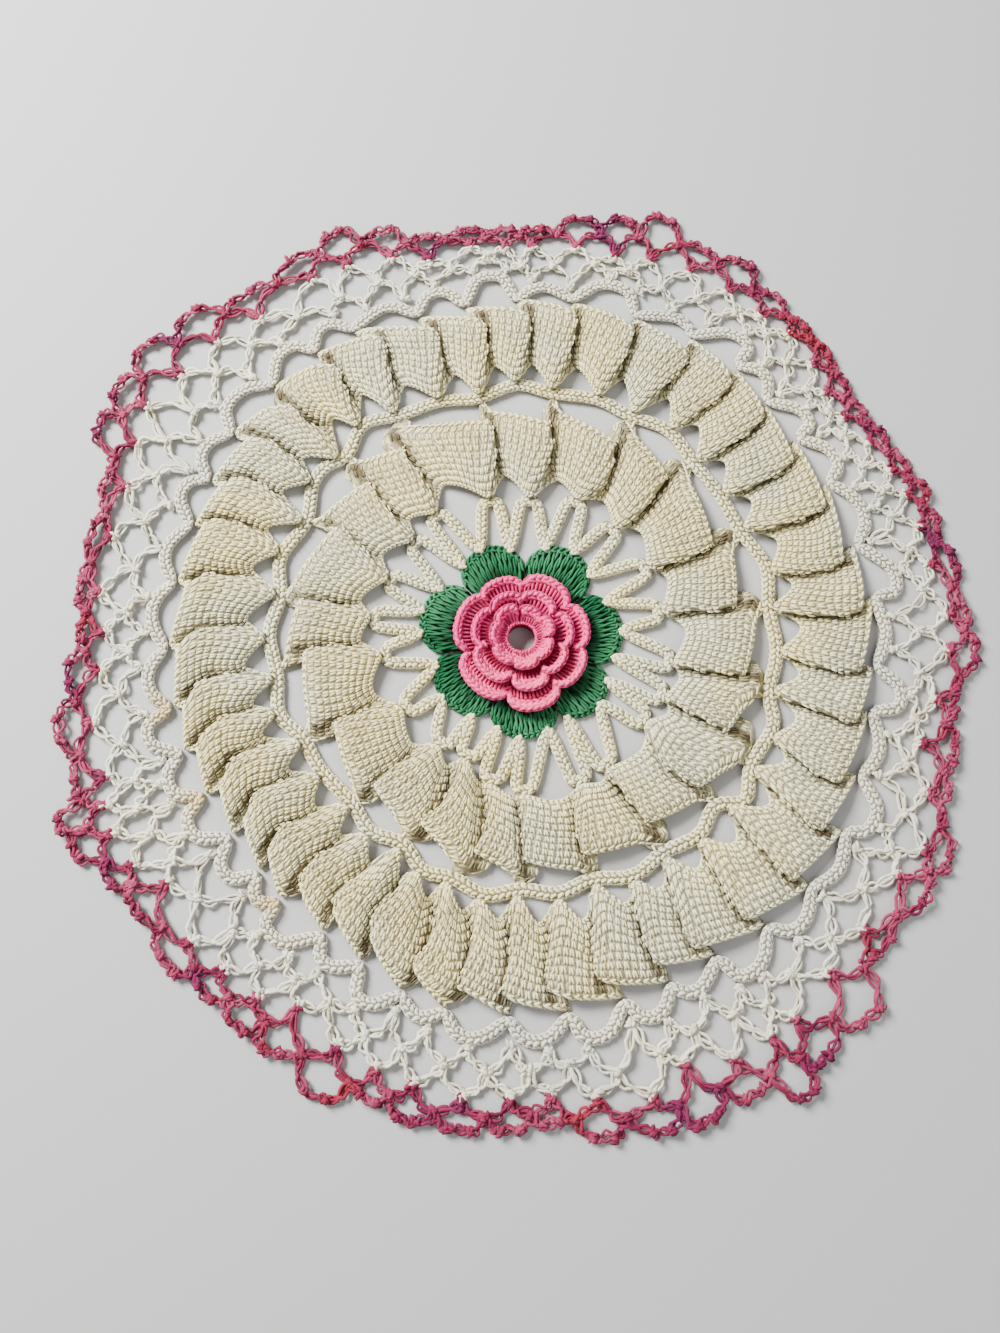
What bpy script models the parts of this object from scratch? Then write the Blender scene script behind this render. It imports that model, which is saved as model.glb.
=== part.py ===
"""Crocheted lace doily with a raised rose, two pleated rounds, a chain net and a coloured edging.

Sizes are in millimetres until a mesh is made, which is in metres. Directions are degrees clockwise
from 12 o'clock, and radii run from the rose. The tables give each place where it is seen in the
photograph, on the plane that the doily lies on; real_place() then moves what stands above that
plane back along the line of sight.
"""

import math

import bmesh
import bpy
import numpy as np

# ---------------------------------------------------------------- driving dimensions (mm)
VIEWER = (-6.825, -75.36, 316.24)  # where the photograph was taken from, over the rose
ROSE_AT = (0.616, -2.917)  # the rose, from the middle of the doily's outline
SHEET = 1.4  # thickness of the crocheted strips
GAP = 0.4  # clearance between neighbouring pieces, as seen from above
SEAT_GAP = 0.4  # how far a sewn corner stays short of its cord

CORD_WIDE, CORD_HIGH = 4.8, 2.6  # ring between the two pleated rounds
ARC_WIDE, ARC_FOOT = 4.5, 2.6  # scalloped cord outside them, and where it is sewn on
STAR_WIDE, STAR_FOOT = 3.8, 1.5  # zigzag cord round the leaves
CHAIN_WIDE, CHAIN_HIGH = 2.3, 1.7  # chain of the net and the edging
KNOT_GAP = 1.5  # from the colour change to the middle of the chain on either side
NET_ROOM = 6.0  # least depth of the net's two rows
NET_SEAT = 1.2  # from the scalloped cord's edge to the middle of the chain knotted to it

LEAF_HIGH = 2.2  # the leaves' thickness
LEAF_REACH, LEAF_ROOT = 24.6, 11.0  # where their stitches start, and where they are anchored

FOLD_TOP, FOLD_LOW = 5.4, 0.7  # heights of a pleat's ridge and valley, at mid-thickness

# Three rings of petals, one petal over each leaf. turn: how far its petals are turned from the
# leaves; hole and tip are radii; notch is how deep the outline dips between petals; foot and rim
# are heights of the underside at the eye and at the petal's tip.
PETAL_RINGS = (
    # name, turn, hole, tip, notch, foot, rim, thick, steps
    ("rose_front_petals", 14.0, 4.2, 10.6, 1.1, 6.6, 8.4, 1.6, 4),
    ("rose_middle_petals", -2.0, 4.2, 16.8, 2.6, 4.5, 6.3, 1.6, 5),
    ("rose_back_petals", -1.0, 4.2, 22.6, 3.2, 2.7, 4.2, 1.5, 6),
)

# A row for each leaf: the dip before it, and its tip.
LEAVES = (
    # dip_deg, dip_r, tip_deg, tip_r
    (3, 24.5, 27, 35.5),
    (53, 25.0, 82, 33.5),
    (107, 25.5, 130, 33.5),
    (153, 25.0, 180, 32.5),
    (204, 24.0, 238, 31.5),
    (261, 25.0, 292, 34.5),
    (315, 25.0, 338, 35.0),
)

# A row for each pleat of the inner round. star: the zigzag's inner corner before the pleat.
# tip: where the pleat's ridge starts, on the zigzag. mouth: top of the open arch before it.
# ridge: where the ridge ends. high and low: the outer edge at the pleat's start and at its ridge.
# seat: where the outer edge is sewn to the cord ring, beside the ridge.
INNER_PLEATS = (
    # star_deg, star_r, tip_deg, tip_r, mouth_deg, mouth_r, ridge, high, low, seat_deg, seat_r
    (353.5, 33.5, 363.5, 50.0, 355, 58.0, 368.5, 82.0, 77.5, 367.5, 85.0),
    (14.5, 35.5, 21, 53.0, 13, 57.5, 28, 82.0, 77.0, 26.5, 83.5),
    (29.5, 37.5, 38.5, 50.5, 30, 56.0, 43, 82.5, 76.0, 43, 82.0),
    (44.5, 34.5, 58.5, 49.5, 46.5, 55.0, 63, 80.0, 72.0, 64, 79.0),
    (64, 33.0, 77, 47.5, 66, 53.0, 81.5, 77.0, 71.5, 82, 79.0),
    (83, 35.5, 97.5, 50.0, 86, 54.0, 98, 77.5, 73.0, 103, 78.5),
    (99, 32.0, 111, 50.0, 103, 52.5, 114, 76.0, 72.0, 119, 79.0),
    (114.5, 31.0, 123, 48.0, 116.5, 52.5, 130, 78.5, 73.0, 130.5, 76.5),
    (128, 35.0, 146, 49.5, 133, 52.0, 145, 75.5, 70.5, 148, 78.0),
    (149, 31.0, 157.5, 50.0, 151, 52.0, 163, 74.0, 70.5, 164, 75.5),
    (163, 31.5, 179, 49.5, 167, 52.5, 179, 75.0, 70.0, 181, 75.5),
    (180, 34.5, 192, 47.0, 183, 50.0, 192.5, 73.0, 68.5, 196, 75.0),
    (194, 28.5, 205, 42.0, 196, 47.5, 208.5, 72.0, 66.0, 211, 71.0),
    (213, 28.5, 218, 43.0, 211, 46.5, 224, 69.5, 66.0, 226, 71.0),
    (235, 33.0, 240, 44.0, 227, 48.0, 245, 71.0, 65.5, 246, 73.0),
    (255, 30.0, 264.5, 45.5, 252, 50.5, 267, 73.0, 70.5, 263, 76.0),
    (276, 33.5, 279.5, 50.0, 271, 52.5, 280.5, 77.0, 74.0, 281, 77.0),
    (288, 36.0, 296, 49.0, 285.5, 54.5, 302, 78.0, 73.0, 300, 79.0),
    (304, 34.0, 314, 50.0, 303.5, 54.5, 317, 79.5, 75.5, 318, 83.0),
    (324, 33.5, 327, 53.0, 319, 56.0, 328, 83.0, 78.5, 333, 85.5),
    (336.5, 36.5, 348, 51.0, 335, 60.0, 351.5, 83.0, 78.0, 351, 83.5),
)

# A row for each pleat of the outer round, named as above. rim: the outer edge near the pleat's
# start. corner: the outer edge at its ridge. peak: top of the cord's arc after it.
OUTER_PLEATS = (
    # ridge, tip_deg, tip_r, mouth_deg, mouth_r, rim, corner, seat_deg, seat_r, peak_deg, peak_r
    (9, 7, 90.0, 2.5, 99.0, 123.5, 119.5, 8.5, 123.0, 14.5, 133.5),
    (19, 17, 92.0, 11.5, 99.5, 123.5, 119.0, 19, 122.5, 25.5, 129.0),
    (29.5, 25.5, 90.0, 21, 100.0, 122.5, 117.0, 28.5, 123.0, 35, 133.5),
    (38, 34.5, 92.0, 31, 100.0, 123.5, 117.0, 37.5, 121.5, 41, 127.5),
    (46, 43.5, 87.5, 39, 97.5, 120.0, 115.0, 45, 118.0, 50.5, 126.5),
    (55, 53, 86.0, 48, 93.5, 115.5, 112.0, 53, 116.5, 58.5, 125.0),
    (65, 62.5, 85.0, 58, 92.0, 115.0, 112.5, 62, 116.0, 68, 123.5),
    (75, 73.5, 88.0, 68, 92.5, 113.5, 110.0, 73.5, 115.0, 80, 126.0),
    (84, 82, 85.0, 78, 92.0, 115.0, 112.0, 82.5, 115.5, 88, 119.5),
    (94.5, 92, 86.0, 87, 92.0, 113.0, 110.0, 94, 113.5, 98.5, 124.0),
    (103.5, 101, 85.0, 97, 91.0, 112.0, 110.0, 101.5, 113.0, 107.5, 119.5),
    (114, 111, 88.0, 106, 92.0, 112.0, 110.0, 112, 114.0, 117.5, 125.0),
    (122.5, 119, 86.5, 115, 92.5, 113.0, 111.5, 121, 116.5, 126.5, 122.5),
    (132, 129, 89.0, 124, 94.5, 114.5, 113.0, 131, 117.0, 136, 124.0),
    (141.5, 138.5, 86.0, 134, 93.0, 114.0, 111.5, 140, 115.5, 145.5, 125.0),
    (151, 147, 84.0, 143, 91.0, 112.0, 109.5, 149, 113.5, 154, 121.0),
    (157.5, 155.5, 85.0, 151, 89.5, 111.5, 108.5, 157, 114.0, 161, 123.0),
    (167, 163.5, 82.0, 158.5, 89.0, 112.0, 108.0, 164.5, 114.0, 169.5, 124.5),
    (175.5, 172, 83.5, 168, 90.0, 113.5, 108.5, 173, 114.5, 178, 123.5),
    (183, 181, 81.5, 177, 89.0, 113.5, 110.0, 182, 115.0, 187.5, 123.5),
    (190.5, 189, 84.0, 185, 88.0, 111.0, 109.5, 191.5, 115.0, 195, 120.5),
    (198, 197, 81.0, 192.5, 87.0, 112.0, 106.5, 198.5, 113.5, 203, 122.0),
    (207, 204, 82.0, 200, 86.5, 110.0, 105.5, 206, 110.5, 210.5, 117.5),
    (214.5, 210, 79.0, 207, 84.5, 108.0, 104.0, 213.5, 109.0, 219.5, 120.5),
    (223, 218, 80.0, 214, 85.0, 108.0, 105.0, 222.5, 109.5, 225, 116.0),
    (232, 226, 78.0, 223, 84.0, 107.0, 105.5, 228, 108.5, 231.5, 118.5),
    (239.5, 236, 79.0, 231, 84.0, 108.0, 105.5, 235.5, 109.0, 240, 120.5),
    (247, 245, 80.0, 241, 85.0, 108.5, 108.0, 243.5, 110.5, 247.5, 121.0),
    (255.5, 253.5, 84.0, 250, 88.5, 110.0, 110.5, 251.5, 112.5, 255.5, 123.5),
    (264, 261.5, 82.5, 257, 89.0, 111.5, 111.5, 259, 113.0, 264, 121.5),
    (273, 271, 85.0, 265, 90.0, 112.0, 112.0, 269, 114.0, 275, 121.5),
    (283, 281.5, 83.0, 275, 90.0, 112.5, 112.0, 280, 114.5, 285, 122.0),
    (293, 291, 87.5, 286, 92.5, 114.0, 113.0, 290, 115.5, 295, 125.5),
    (301.5, 299.5, 86.0, 295, 93.0, 115.5, 114.5, 298, 117.5, 302.5, 127.0),
    (310, 308, 91.0, 303, 95.5, 118.0, 116.5, 306.5, 120.5, 311.5, 131.0),
    (318, 316, 91.0, 311, 97.5, 122.0, 115.0, 317, 123.0, 322, 132.5),
    (327, 324, 97.0, 321, 101.5, 123.5, 117.0, 325.5, 124.0, 329, 132.5),
    (336, 332, 92.5, 328.5, 103.0, 123.5, 119.0, 332.5, 124.5, 338, 129.5),
    (344.5, 342, 92.0, 336.5, 99.0, 121.0, 116.0, 343, 121.0, 347, 130.0),
    (353, 351, 90.0, 347, 97.5, 119.5, 116.5, 351, 121.0, 355.5, 133.5),
    (361, 359, 92.0, 355, 98.5, 121.5, 118.0, 359.5, 121.5, 364, 129.0),
)

# Centre line of the cord ring between the rounds.
CORD_RING = (
    # deg, r
    (0, 91.0), (7.5, 88.5), (17, 89.5), (25, 88.0), (34.5, 89.5), (43.5, 85.5), (53, 84.0),
    (62.5, 82.5), (72.5, 85.0), (82, 82.0), (92, 83.0), (102, 81.5), (109, 85.0), (119, 83.0),
    (126, 87.0), (131, 80.5), (138, 83.0), (147, 80.5), (155, 82.0), (164, 78.5), (172, 80.5),
    (180, 78.5), (188, 81.0), (196, 78.0), (203, 79.0), (210, 74.5), (218, 77.0), (226, 74.5),
    (237, 76.0), (246, 76.5), (253, 81.0), (262, 79.5), (272, 82.0), (281, 80.5), (290, 84.5),
    (300, 82.5), (308, 88.5), (313, 89.5), (318, 87.5), (325, 93.0), (333, 89.5), (342, 89.0),
    (350, 87.0), (355, 89.0),
)

# A row for each loop of the outer chain rows. knot: where the coloured edging starts on the
# net. tip: the outermost point of the edging there.
LOOPS = (
    # deg, knot, tip
    (2, 144.5, 153), (8, 145.5, 158.5), (13.5, 144.5, 161), (18.5, 146.5, 165.5),
    (24, 147.5, 159), (30, 146.5, 160.5), (35.5, 144, 155), (40.5, 145, 152),
    (45.5, 141.5, 149.5), (50, 137, 146), (54.5, 135.5, 139.5), (59.5, 137.5, 143),
    (64.5, 138.5, 141), (68.5, 139.5, 147), (73.5, 138.5, 144), (79, 138, 147.5),
    (86, 140, 147), (91, 138.5, 149), (98, 134, 142), (104.5, 131.5, 143.5),
    (111, 137, 143), (118, 141.5, 151), (122.5, 138, 149.5), (131, 138.5, 146.5),
    (138, 139, 157.5), (145, 142.5, 158), (148.5, 143, 163), (153.5, 142.5, 155.5),
    (159.5, 138, 156.5), (164.5, 144, 155), (171, 140.5, 153), (176.5, 138, 147),
    (181.5, 139, 149.5), (187.5, 140, 150.5), (193.5, 139, 150.5), (198.5, 138, 147.5),
    (204, 136.5, 153), (211, 132, 148), (216, 136, 148), (221.5, 136.5, 147),
    (227, 138, 149.5), (235, 134, 147.5), (239.5, 140, 150), (244.5, 142, 156),
    (248, 141, 158), (251.5, 138, 150), (259, 140, 152), (266, 136.5, 148),
    (271.5, 136, 143.5), (277, 139.5, 147.5), (285, 140.5, 149), (292, 143, 152),
    (298, 148, 164), (303, 152.5, 166.5), (309, 150.5, 169), (315.5, 150.5, 166.5),
    (322, 147.5, 160), (331, 150.5, 162), (336, 150, 165), (342, 147.5, 160),
    (347, 142.5, 153.5), (353, 145.5, 153.5), (358, 144, 152.5),
)

# ---------------------------------------------------------------- working rules
PLEAT_STEPS = (
    # along: share of the way from the valley to the ridge; on: mm beyond that; height: 0 on the
    # table, 1 at the top of the fold
    # name, along, on_mm, height
    ("valley", 0.0, 0.0, 0.0),
    ("floor", 0.0, 2.0, 0.07),
    ("rise", 0.34, 0.0, 0.56),
    ("swell", 0.64, 0.0, 0.90),
    ("crown", 1.0, -2.0, 1.0),
    ("nose", 1.0, 0.0, 0.76),
    ("drop", 1.0, 0.45, 0.36),
)
STRIP_ROWS = (
    # across: 0 inner edge, 1 outer edge; lift: how much of the folds' height is left there; tuck:
    # how far the valley lies back under the ridge, in mm, in the inner and the outer round
    # across, lift, tuck_in, tuck_out
    (0.0, 0.55, -1.6, -1.6),
    (0.3, 0.95, -2.4, -0.5),
    (0.72, 1.0, -3.0, -0.5),
    (1.0, 0.72, -1.0, -1.0),
)


def polar(deg, r):
    """Point on the table plane, clockwise from 12 o'clock."""
    a = math.radians(deg)
    return r * math.sin(a), r * math.cos(a)


def real_place(x, y, z):
    """Moves a point from where it is seen on the table plane to its real place at height z."""
    k = z / VIEWER[2]
    return x + (VIEWER[0] - x) * k + ROSE_AT[0], y + (VIEWER[1] - y) * k + ROSE_AT[1], z


def seen_place(x, y, z):
    """Where a point at height z, given by its real place from the rose, is seen on the table plane."""
    k = z / VIEWER[2]
    return (x - VIEWER[0] * k) / (1 - k), (y - VIEWER[1] * k) / (1 - k)


def around(rows, deg, column):
    """Value of a column at any angle, for rows that start with their angle."""
    a = np.array([row[0] for row in rows], float)
    v = np.array([row[column] for row in rows], float)
    return float(np.interp(deg, np.r_[a - 360, a, a + 360], np.r_[v, v, v]))


def smooth_ring(rows, per_row):
    """Angles and radii of a closed curve through the rows, per_row points for each."""
    n = len(rows)
    out = []
    for i in range(n):
        p = [rows[(i + k) % n] for k in (-1, 0, 1, 2)]
        a = [q[0] + 360 * ((i + k) // n) for q, k in zip(p, (-1, 0, 1, 2))]
        for s in range(per_row):
            t = s / per_row
            m1 = (p[2][1] - p[0][1]) / (a[2] - a[0]) * (a[2] - a[1])
            m2 = (p[3][1] - p[1][1]) / (a[3] - a[1]) * (a[2] - a[1])
            h = (2 * t**3 - 3 * t**2 + 1, t**3 - 2 * t**2 + t, 3 * t**2 - 2 * t**3, t**3 - t**2)
            r = h[0] * p[1][1] + h[1] * m1 + h[2] * p[2][1] + h[3] * m2
            out.append((a[1] + (a[2] - a[1]) * t, r))
    return out


def add_piece(name, points, faces, look):
    """Makes one object from real places in mm, closed and facing out."""
    mesh = bpy.data.meshes.new(name)
    mesh.from_pydata([tuple(c / 1000 for c in real_place(*p)) for p in points], [], faces)
    piece = bpy.data.objects.new(name, mesh)
    bpy.context.scene.collection.objects.link(piece)
    mesh.materials.append(look)
    bm = bmesh.new()
    bm.from_mesh(mesh)
    bmesh.ops.triangulate(bm, faces=bm.faces[:])
    bmesh.ops.recalc_face_normals(bm, faces=bm.faces[:])
    if bm.calc_volume(signed=True) < 0:
        bmesh.ops.reverse_faces(bm, faces=bm.faces[:])
    bm.to_mesh(mesh)
    bm.free()
    mesh.shade_smooth()
    mesh.set_sharp_from_angle(angle=math.radians(50))
    return piece


def yarn_look(name, colour, roughness=0.85):
    """Material of one colour of cotton."""
    look = bpy.data.materials.new(name)
    look.use_nodes = True
    shader = look.node_tree.nodes["Principled BSDF"]
    shader.inputs["Base Color"].default_value = (*colour, 1.0)
    shader.inputs["Roughness"].default_value = roughness
    shader.inputs["Metallic"].default_value = 0.0
    return look


# ---------------------------------------------------------------- cords
def cord(name, stations, high, look, crown=0.62):
    """A closed flat-bottomed cord. stations: (deg, r, width) in order round the doily."""
    mid = np.array([polar(d, r) for d, r, _ in stations])
    half = np.array([w for _, _, w in stations]) / 2
    n = len(mid)
    points, faces = [], []
    for i in range(n):
        before = mid[i] - mid[i - 1]
        after = mid[(i + 1) % n] - mid[i]
        before, after = before / np.linalg.norm(before), after / np.linalg.norm(after)
        way = before + after
        way /= np.linalg.norm(way)
        out = np.array([-way[1], way[0]])
        mitre = min(1 / max(way @ before, 0.2), 1.5) * half[i]
        for side, z in ((-1, 0.0), (1, 0.0), (crown, high), (-crown, high)):
            x, y = mid[i] + out * mitre * side
            points.append((x, y, z))
    for i in range(n):
        j = (i + 1) % n
        for k in range(4):
            m = (k + 1) % 4
            faces.append((4 * i + k, 4 * i + m, 4 * j + m, 4 * j + k))
    return add_piece(name, points, faces, look)


def cord_ring_at(deg):
    """Radius of the cord ring's centre line."""
    return around(RING_LINE, deg, 1)


def make_middle_cord(look):
    return cord("middle_cord", [(d, r, CORD_WIDE) for d, r in RING_LINE], CORD_HIGH, look)


def towards(a, b, share):
    """Point a share of the way between two (deg, r) places."""
    (ax, ay), (bx, by) = polar(*a), polar(*b)
    x, y = ax + (bx - ax) * share, ay + (by - ay) * share
    deg = math.degrees(math.atan2(x, y))
    return deg + 360 * round((a[0] - deg) / 360), math.hypot(x, y)


def zigzag(corners, foot_wide, wide, spread, sink):
    """Stations of a cord that goes from foot to foot over a blunt bend.

    corners: (foot, bend) pairs of (deg, r). spread: half the bend's width in degrees at each.
    sink: how much lower the bend's shoulders are than its top. The legs narrow towards the foot,
    where both meet.
    """
    n, stations = len(corners), []
    for i, (foot, bend) in enumerate(corners):
        last = corners[(i + 1) % n][0]
        last = (last[0] + 360 * (last[0] < foot[0] - 180), last[1])
        ends = [(bend[0] - spread[i], bend[1] - sink), (bend[0] + spread[i], bend[1] - sink)]
        past = corners[i - 1][1]
        past = (past[0] + spread[i - 1] - 360 * (past[0] > foot[0] + 180), past[1] - sink)
        nxt = corners[(i + 1) % n][1]
        nxt = (nxt[0] - spread[(i + 1) % n] + 360 * (nxt[0] < last[0] - 180), nxt[1] - sink)
        up, down = towards(foot, ends[0], 0.42), towards(ends[1], last, 0.58)
        stations += [
            (*foot, foot_wide),
            (*up, min(wide, 2 * room(foot, past, ends[0]) * 0.42)),
            (*ends[0], wide),
            (*bend, wide),
            (*ends[1], wide),
            (*down, min(wide, 2 * room(last, ends[1], nxt) * 0.42)),
        ]
    return stations


def room(foot, one, two):
    """Half the space between two legs at their far end, less a little clearance."""
    f, a, b = (np.array(polar(*p)) for p in (foot, one, two))
    u, v = (a - f) / np.linalg.norm(a - f), (b - f) / np.linalg.norm(b - f)
    half = math.acos(max(-1.0, min(1.0, u @ v))) / 2
    return 0.86 * math.sin(half) * min(np.linalg.norm(a - f), np.linalg.norm(b - f))


def leaf_edge(deg):
    """Radius of the leaves' outline at an angle."""
    for (dip, dip_r, _, tip_r), nxt in zip(LEAVES, LEAVES[1:] + LEAVES[:1]):
        end = nxt[0] + 360 * (nxt[0] < dip)
        t = ((deg - dip) % 360) / (end - dip)
        if t <= 1:
            return dip_r + (nxt[1] - dip_r) * t + (tip_r - dip_r) * math.sin(math.pi * t) ** 0.5
    return LEAVES[0][1]


def make_star_cord(look):
    """The zigzag cord: a narrow foot on the leaves, a blunt bend under each pleat."""
    corners, spread = [], []
    for row in INNER_PLEATS:
        foot_r = max(row[1], leaf_edge(row[0]) + GAP + 0.6 * STAR_FOOT)
        bend = (row[2], row[3] - STAR_WIDE / 2 - GAP)
        corners.append(((row[0], foot_r), bend))
        spread.append(0.62 * math.degrees(STAR_WIDE / bend[1]))
    stations = zigzag(corners, STAR_FOOT, STAR_WIDE, spread, 0.35)
    return cord("star_cord", stations, CORD_HIGH, look)


def arc_stations():
    """The scalloped cord: a foot at each seat and an arc to the next one."""
    corners, spread = [], []
    for row, nxt in zip(OUTER_PLEATS, OUTER_PLEATS[1:] + OUTER_PLEATS[:1]):
        corners.append(((row[7], row[8] + 0.6 * ARC_FOOT), (row[9], row[10] - 0.3)))
        spread.append(0.24 * ((nxt[7] - row[7]) % 360))
    return zigzag(corners, ARC_FOOT, ARC_WIDE, spread, 1.3)


# ---------------------------------------------------------------- pleated rounds
def pleated(name, rows, tuck_column, look):
    """A strip folded into pleats round the doily.

    rows: for each pleat (ridge, tip_deg, tip_r, mouth_deg, mouth_r, high, low, seat_deg, seat_r).
    Each pleat rises from the valley beside the ridge before it, swells, and turns down steeply at
    its own ridge. Its inner edge is pinned at the ridge's tip, its outer edge at the seat.
    """
    n, steps, width = len(rows), len(PLEAT_STEPS), len(STRIP_ROWS)
    grid = np.zeros((n * steps, width, 3))
    for i, row in enumerate(rows):
        before = [v - 360 * (i == 0) * (k in (0, 1, 7)) for k, v in enumerate(rows[i - 1])]
        seat = before[7], before[8] - SEAT_GAP
        after = rows[(i + 1) % n]
        ridge, tip_deg, tip_r, mouth_deg, mouth_r, high, low, seat_deg, seat_r = row
        tall = pleat_height(ridge)
        for w, strip_row in enumerate(STRIP_ROWS):
            across, lift, tuck = strip_row[0], strip_row[1], strip_row[tuck_column]
            mm = math.degrees(1 / (tip_r + (low - tip_r) * across))
            bend = across**0.8
            start = before[1] + (before[0] - before[1]) * bend - tuck * mm
            end = tip_deg + (ridge - tip_deg) * bend
            if across == 1:
                start = max(seat[0], min(before[0], seat[0]) - tuck * mm)
                end = min(ridge, seat_deg)
            for s, (_, along, on, height) in enumerate(PLEAT_STEPS):
                deg = start + (end - start) * along + on * mm
                if height == 0.36:
                    fold = max(seat_deg, end - tuck * mm) if across == 1 else end - tuck * mm
                    deg = end + 0.5 * (fold - end)
                inner = arch(deg, (before[1], before[2]), (mouth_deg, mouth_r), (tip_deg, tip_r))
                edge_end = min(ridge, seat_deg)
                corner = min(low, seat_r - SEAT_GAP - 0.5)
                span = edge_end - seat[0]
                spot = [seat[0], seat[0] + 0.2 * span, edge_end - 0.3 * span, edge_end]
                outer = np.interp(deg, spot, [seat[1], high, high - 0.3 * (high - low), corner])
                if across == 1 and deg > end:
                    share = (deg - end) / max(seat_deg - end, mm)
                    outer = corner + (seat_r - SEAT_GAP - corner) * min(share, 1)
                    rise = (after[3] + 360 * (i == n - 1) - end) or 1
                    inner = tip_r + 0.5 * (after[4] - tip_r) * min(max((deg - end) / rise, 0), 1)
                r = inner + (outer - inner) * across
                z = FOLD_LOW + height * (FOLD_TOP - FOLD_LOW) * lift * tall
                grid[i * steps + s, w] = (*polar(deg, r), z)
    points, faces = thickened(grid, SHEET)
    return add_piece(name, points, faces, look)


def arch(deg, left, top, right):
    """Radius along an arch from one pinned corner over its top to the next. Each is (deg, r)."""
    side = left if deg < top[0] else right
    share = min(abs((deg - side[0]) / (top[0] - side[0])), 1) if top[0] != side[0] else 1
    return side[1] + (top[1] - side[1]) * (share + math.sin(math.pi / 2 * share)) / 2


def pleat_height(deg):
    """The pleats lie flatter on the left side, and stand a little unevenly."""
    flat = 0.14 * math.exp(-(((deg % 360 - 265) / 32) ** 2))
    return 1.0 - flat + 0.05 * math.sin(math.radians(deg * 7.3)) + 0.03 * math.sin(deg * 0.61)


def thickened(grid, thick):
    """A closed shell round a strip's middle surface. grid: along (closed), across, xyz."""
    along = np.roll(grid, -1, 0) - np.roll(grid, 1, 0)
    across = np.gradient(grid, axis=1)
    normal = np.cross(across, along)
    normal /= np.linalg.norm(normal, axis=2, keepdims=True)
    top, under = grid + normal * thick / 2, grid - normal * thick / 2
    top[..., 2] = np.maximum(top[..., 2], 0.0)
    under[..., 2] = np.maximum(under[..., 2], 0.0)
    n, w = grid.shape[:2]
    points = [tuple(p) for p in top.reshape(-1, 3)] + [tuple(p) for p in under.reshape(-1, 3)]
    faces, low = [], n * w
    for i in range(n):
        j = (i + 1) % n
        for k in range(w - 1):
            a, b, c, d = i * w + k, i * w + k + 1, j * w + k + 1, j * w + k
            faces.append((a, b, c, d))
            faces.append((low + d, low + c, low + b, low + a))
        for k in (0, w - 1):
            a, d = i * w + k, j * w + k
            faces.append((a, d, low + d, low + a) if k == 0 else (d, a, low + a, low + d))
    return points, faces


def make_inner_ruffle(look):
    rows = []
    for row in INNER_PLEATS:
        _, _, tip_deg, tip_r, mouth_deg, mouth_r, ridge, high, low, seat_deg, seat_r = row
        if tip_deg > 360:
            tip_deg, ridge, seat_deg = tip_deg - 360, ridge - 360, seat_deg - 360
            mouth_deg -= 360
        edge = cord_ring_at(seat_deg) - CORD_WIDE / 2 - GAP
        rows.append((ridge, tip_deg, tip_r, mouth_deg, mouth_r, high, low, seat_deg, min(seat_r, edge)))
    return pleated("inner_ruffle", rows, 2, look)


def make_outer_ruffle(look):
    rows = []
    for row in OUTER_PLEATS:
        tip_r = max(row[2], cord_ring_at(row[1]) + CORD_WIDE / 2 + GAP)
        rows.append((row[0], row[1], tip_r, *row[3:9]))
    return pleated("outer_ruffle", rows, 3, look)


# ---------------------------------------------------------------- chain net and edging
def lace(name, places, bars, wide, high, look):
    """A flat net of chain bars, fused where they meet.

    places: {key: (deg, r, z)}; bars: pairs of keys. Each bar has a ridge above and below, and
    neighbouring bars share the corner between them, so the whole is one closed body.
    """
    at = {k: np.array((*polar(d, r), z)) for k, (d, r, z) in places.items()}
    ends = {k: [] for k in places}
    for a, b in bars:
        ends[a].append(b)
        ends[b].append(a)
    points, faces, middle, corner = [], [], {}, {}
    for k, others in ends.items():
        p = at[k]
        middle[k] = len(points)
        points += [(p[0], p[1], p[2] + high / 2), (p[0], p[1], p[2] - high / 2)]
        angle = {o: math.atan2(*(at[o] - p)[1::-1]) for o in others}
        order = sorted(others, key=angle.get)
        for one, two in zip(order, order[1:] + order[:1]):
            turn = (angle[two] - angle[one]) % (2 * math.pi) or 2 * math.pi
            reach = wide / 2 / max(math.sin(turn / 2), 0.3)
            if turn > math.pi:
                reach = min(reach, 0.5 * wide)
            way = angle[one] + turn / 2
            corner[k, one, "left"] = corner[k, two, "right"] = len(points)
            points.append((p[0] + reach * math.cos(way), p[1] + reach * math.sin(way), p[2]))
    for a, b in bars:
        al, ar = corner[a, b, "left"], corner[a, b, "right"]
        bl, br = corner[b, a, "left"], corner[b, a, "right"]
        at_, ab, bt, bb = middle[a], middle[a] + 1, middle[b], middle[b] + 1
        faces += [(al, at_, bt, br), (at_, ar, bl, bt), (ar, ab, bb, bl), (ab, al, br, bb)]
    return add_piece(name, points, faces, look)


def wobble(i, k):
    """Small repeatable unevenness between -1 and 1."""
    return math.sin(12.9898 * i + 78.233 * k) * math.cos(4.1 * i * k + k)


def loop_between(i, column, share=None):
    """Angle half way to the next loop, and a column's mean there."""
    row, nxt = LOOPS[i], LOOPS[(i + 1) % len(LOOPS)]
    turn = 360 * (nxt[0] < row[0])
    return (row[0] + nxt[0] + turn) / 2, (row[column] + nxt[column]) / 2


def knot_radius(i, arc_line):
    """Where the net ends and the edging starts, with room for two rows of loops below."""
    deg, knot, _ = LOOPS[i]
    return max(knot, arc_line(deg) + NET_SEAT + NET_ROOM + KNOT_GAP)


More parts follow.
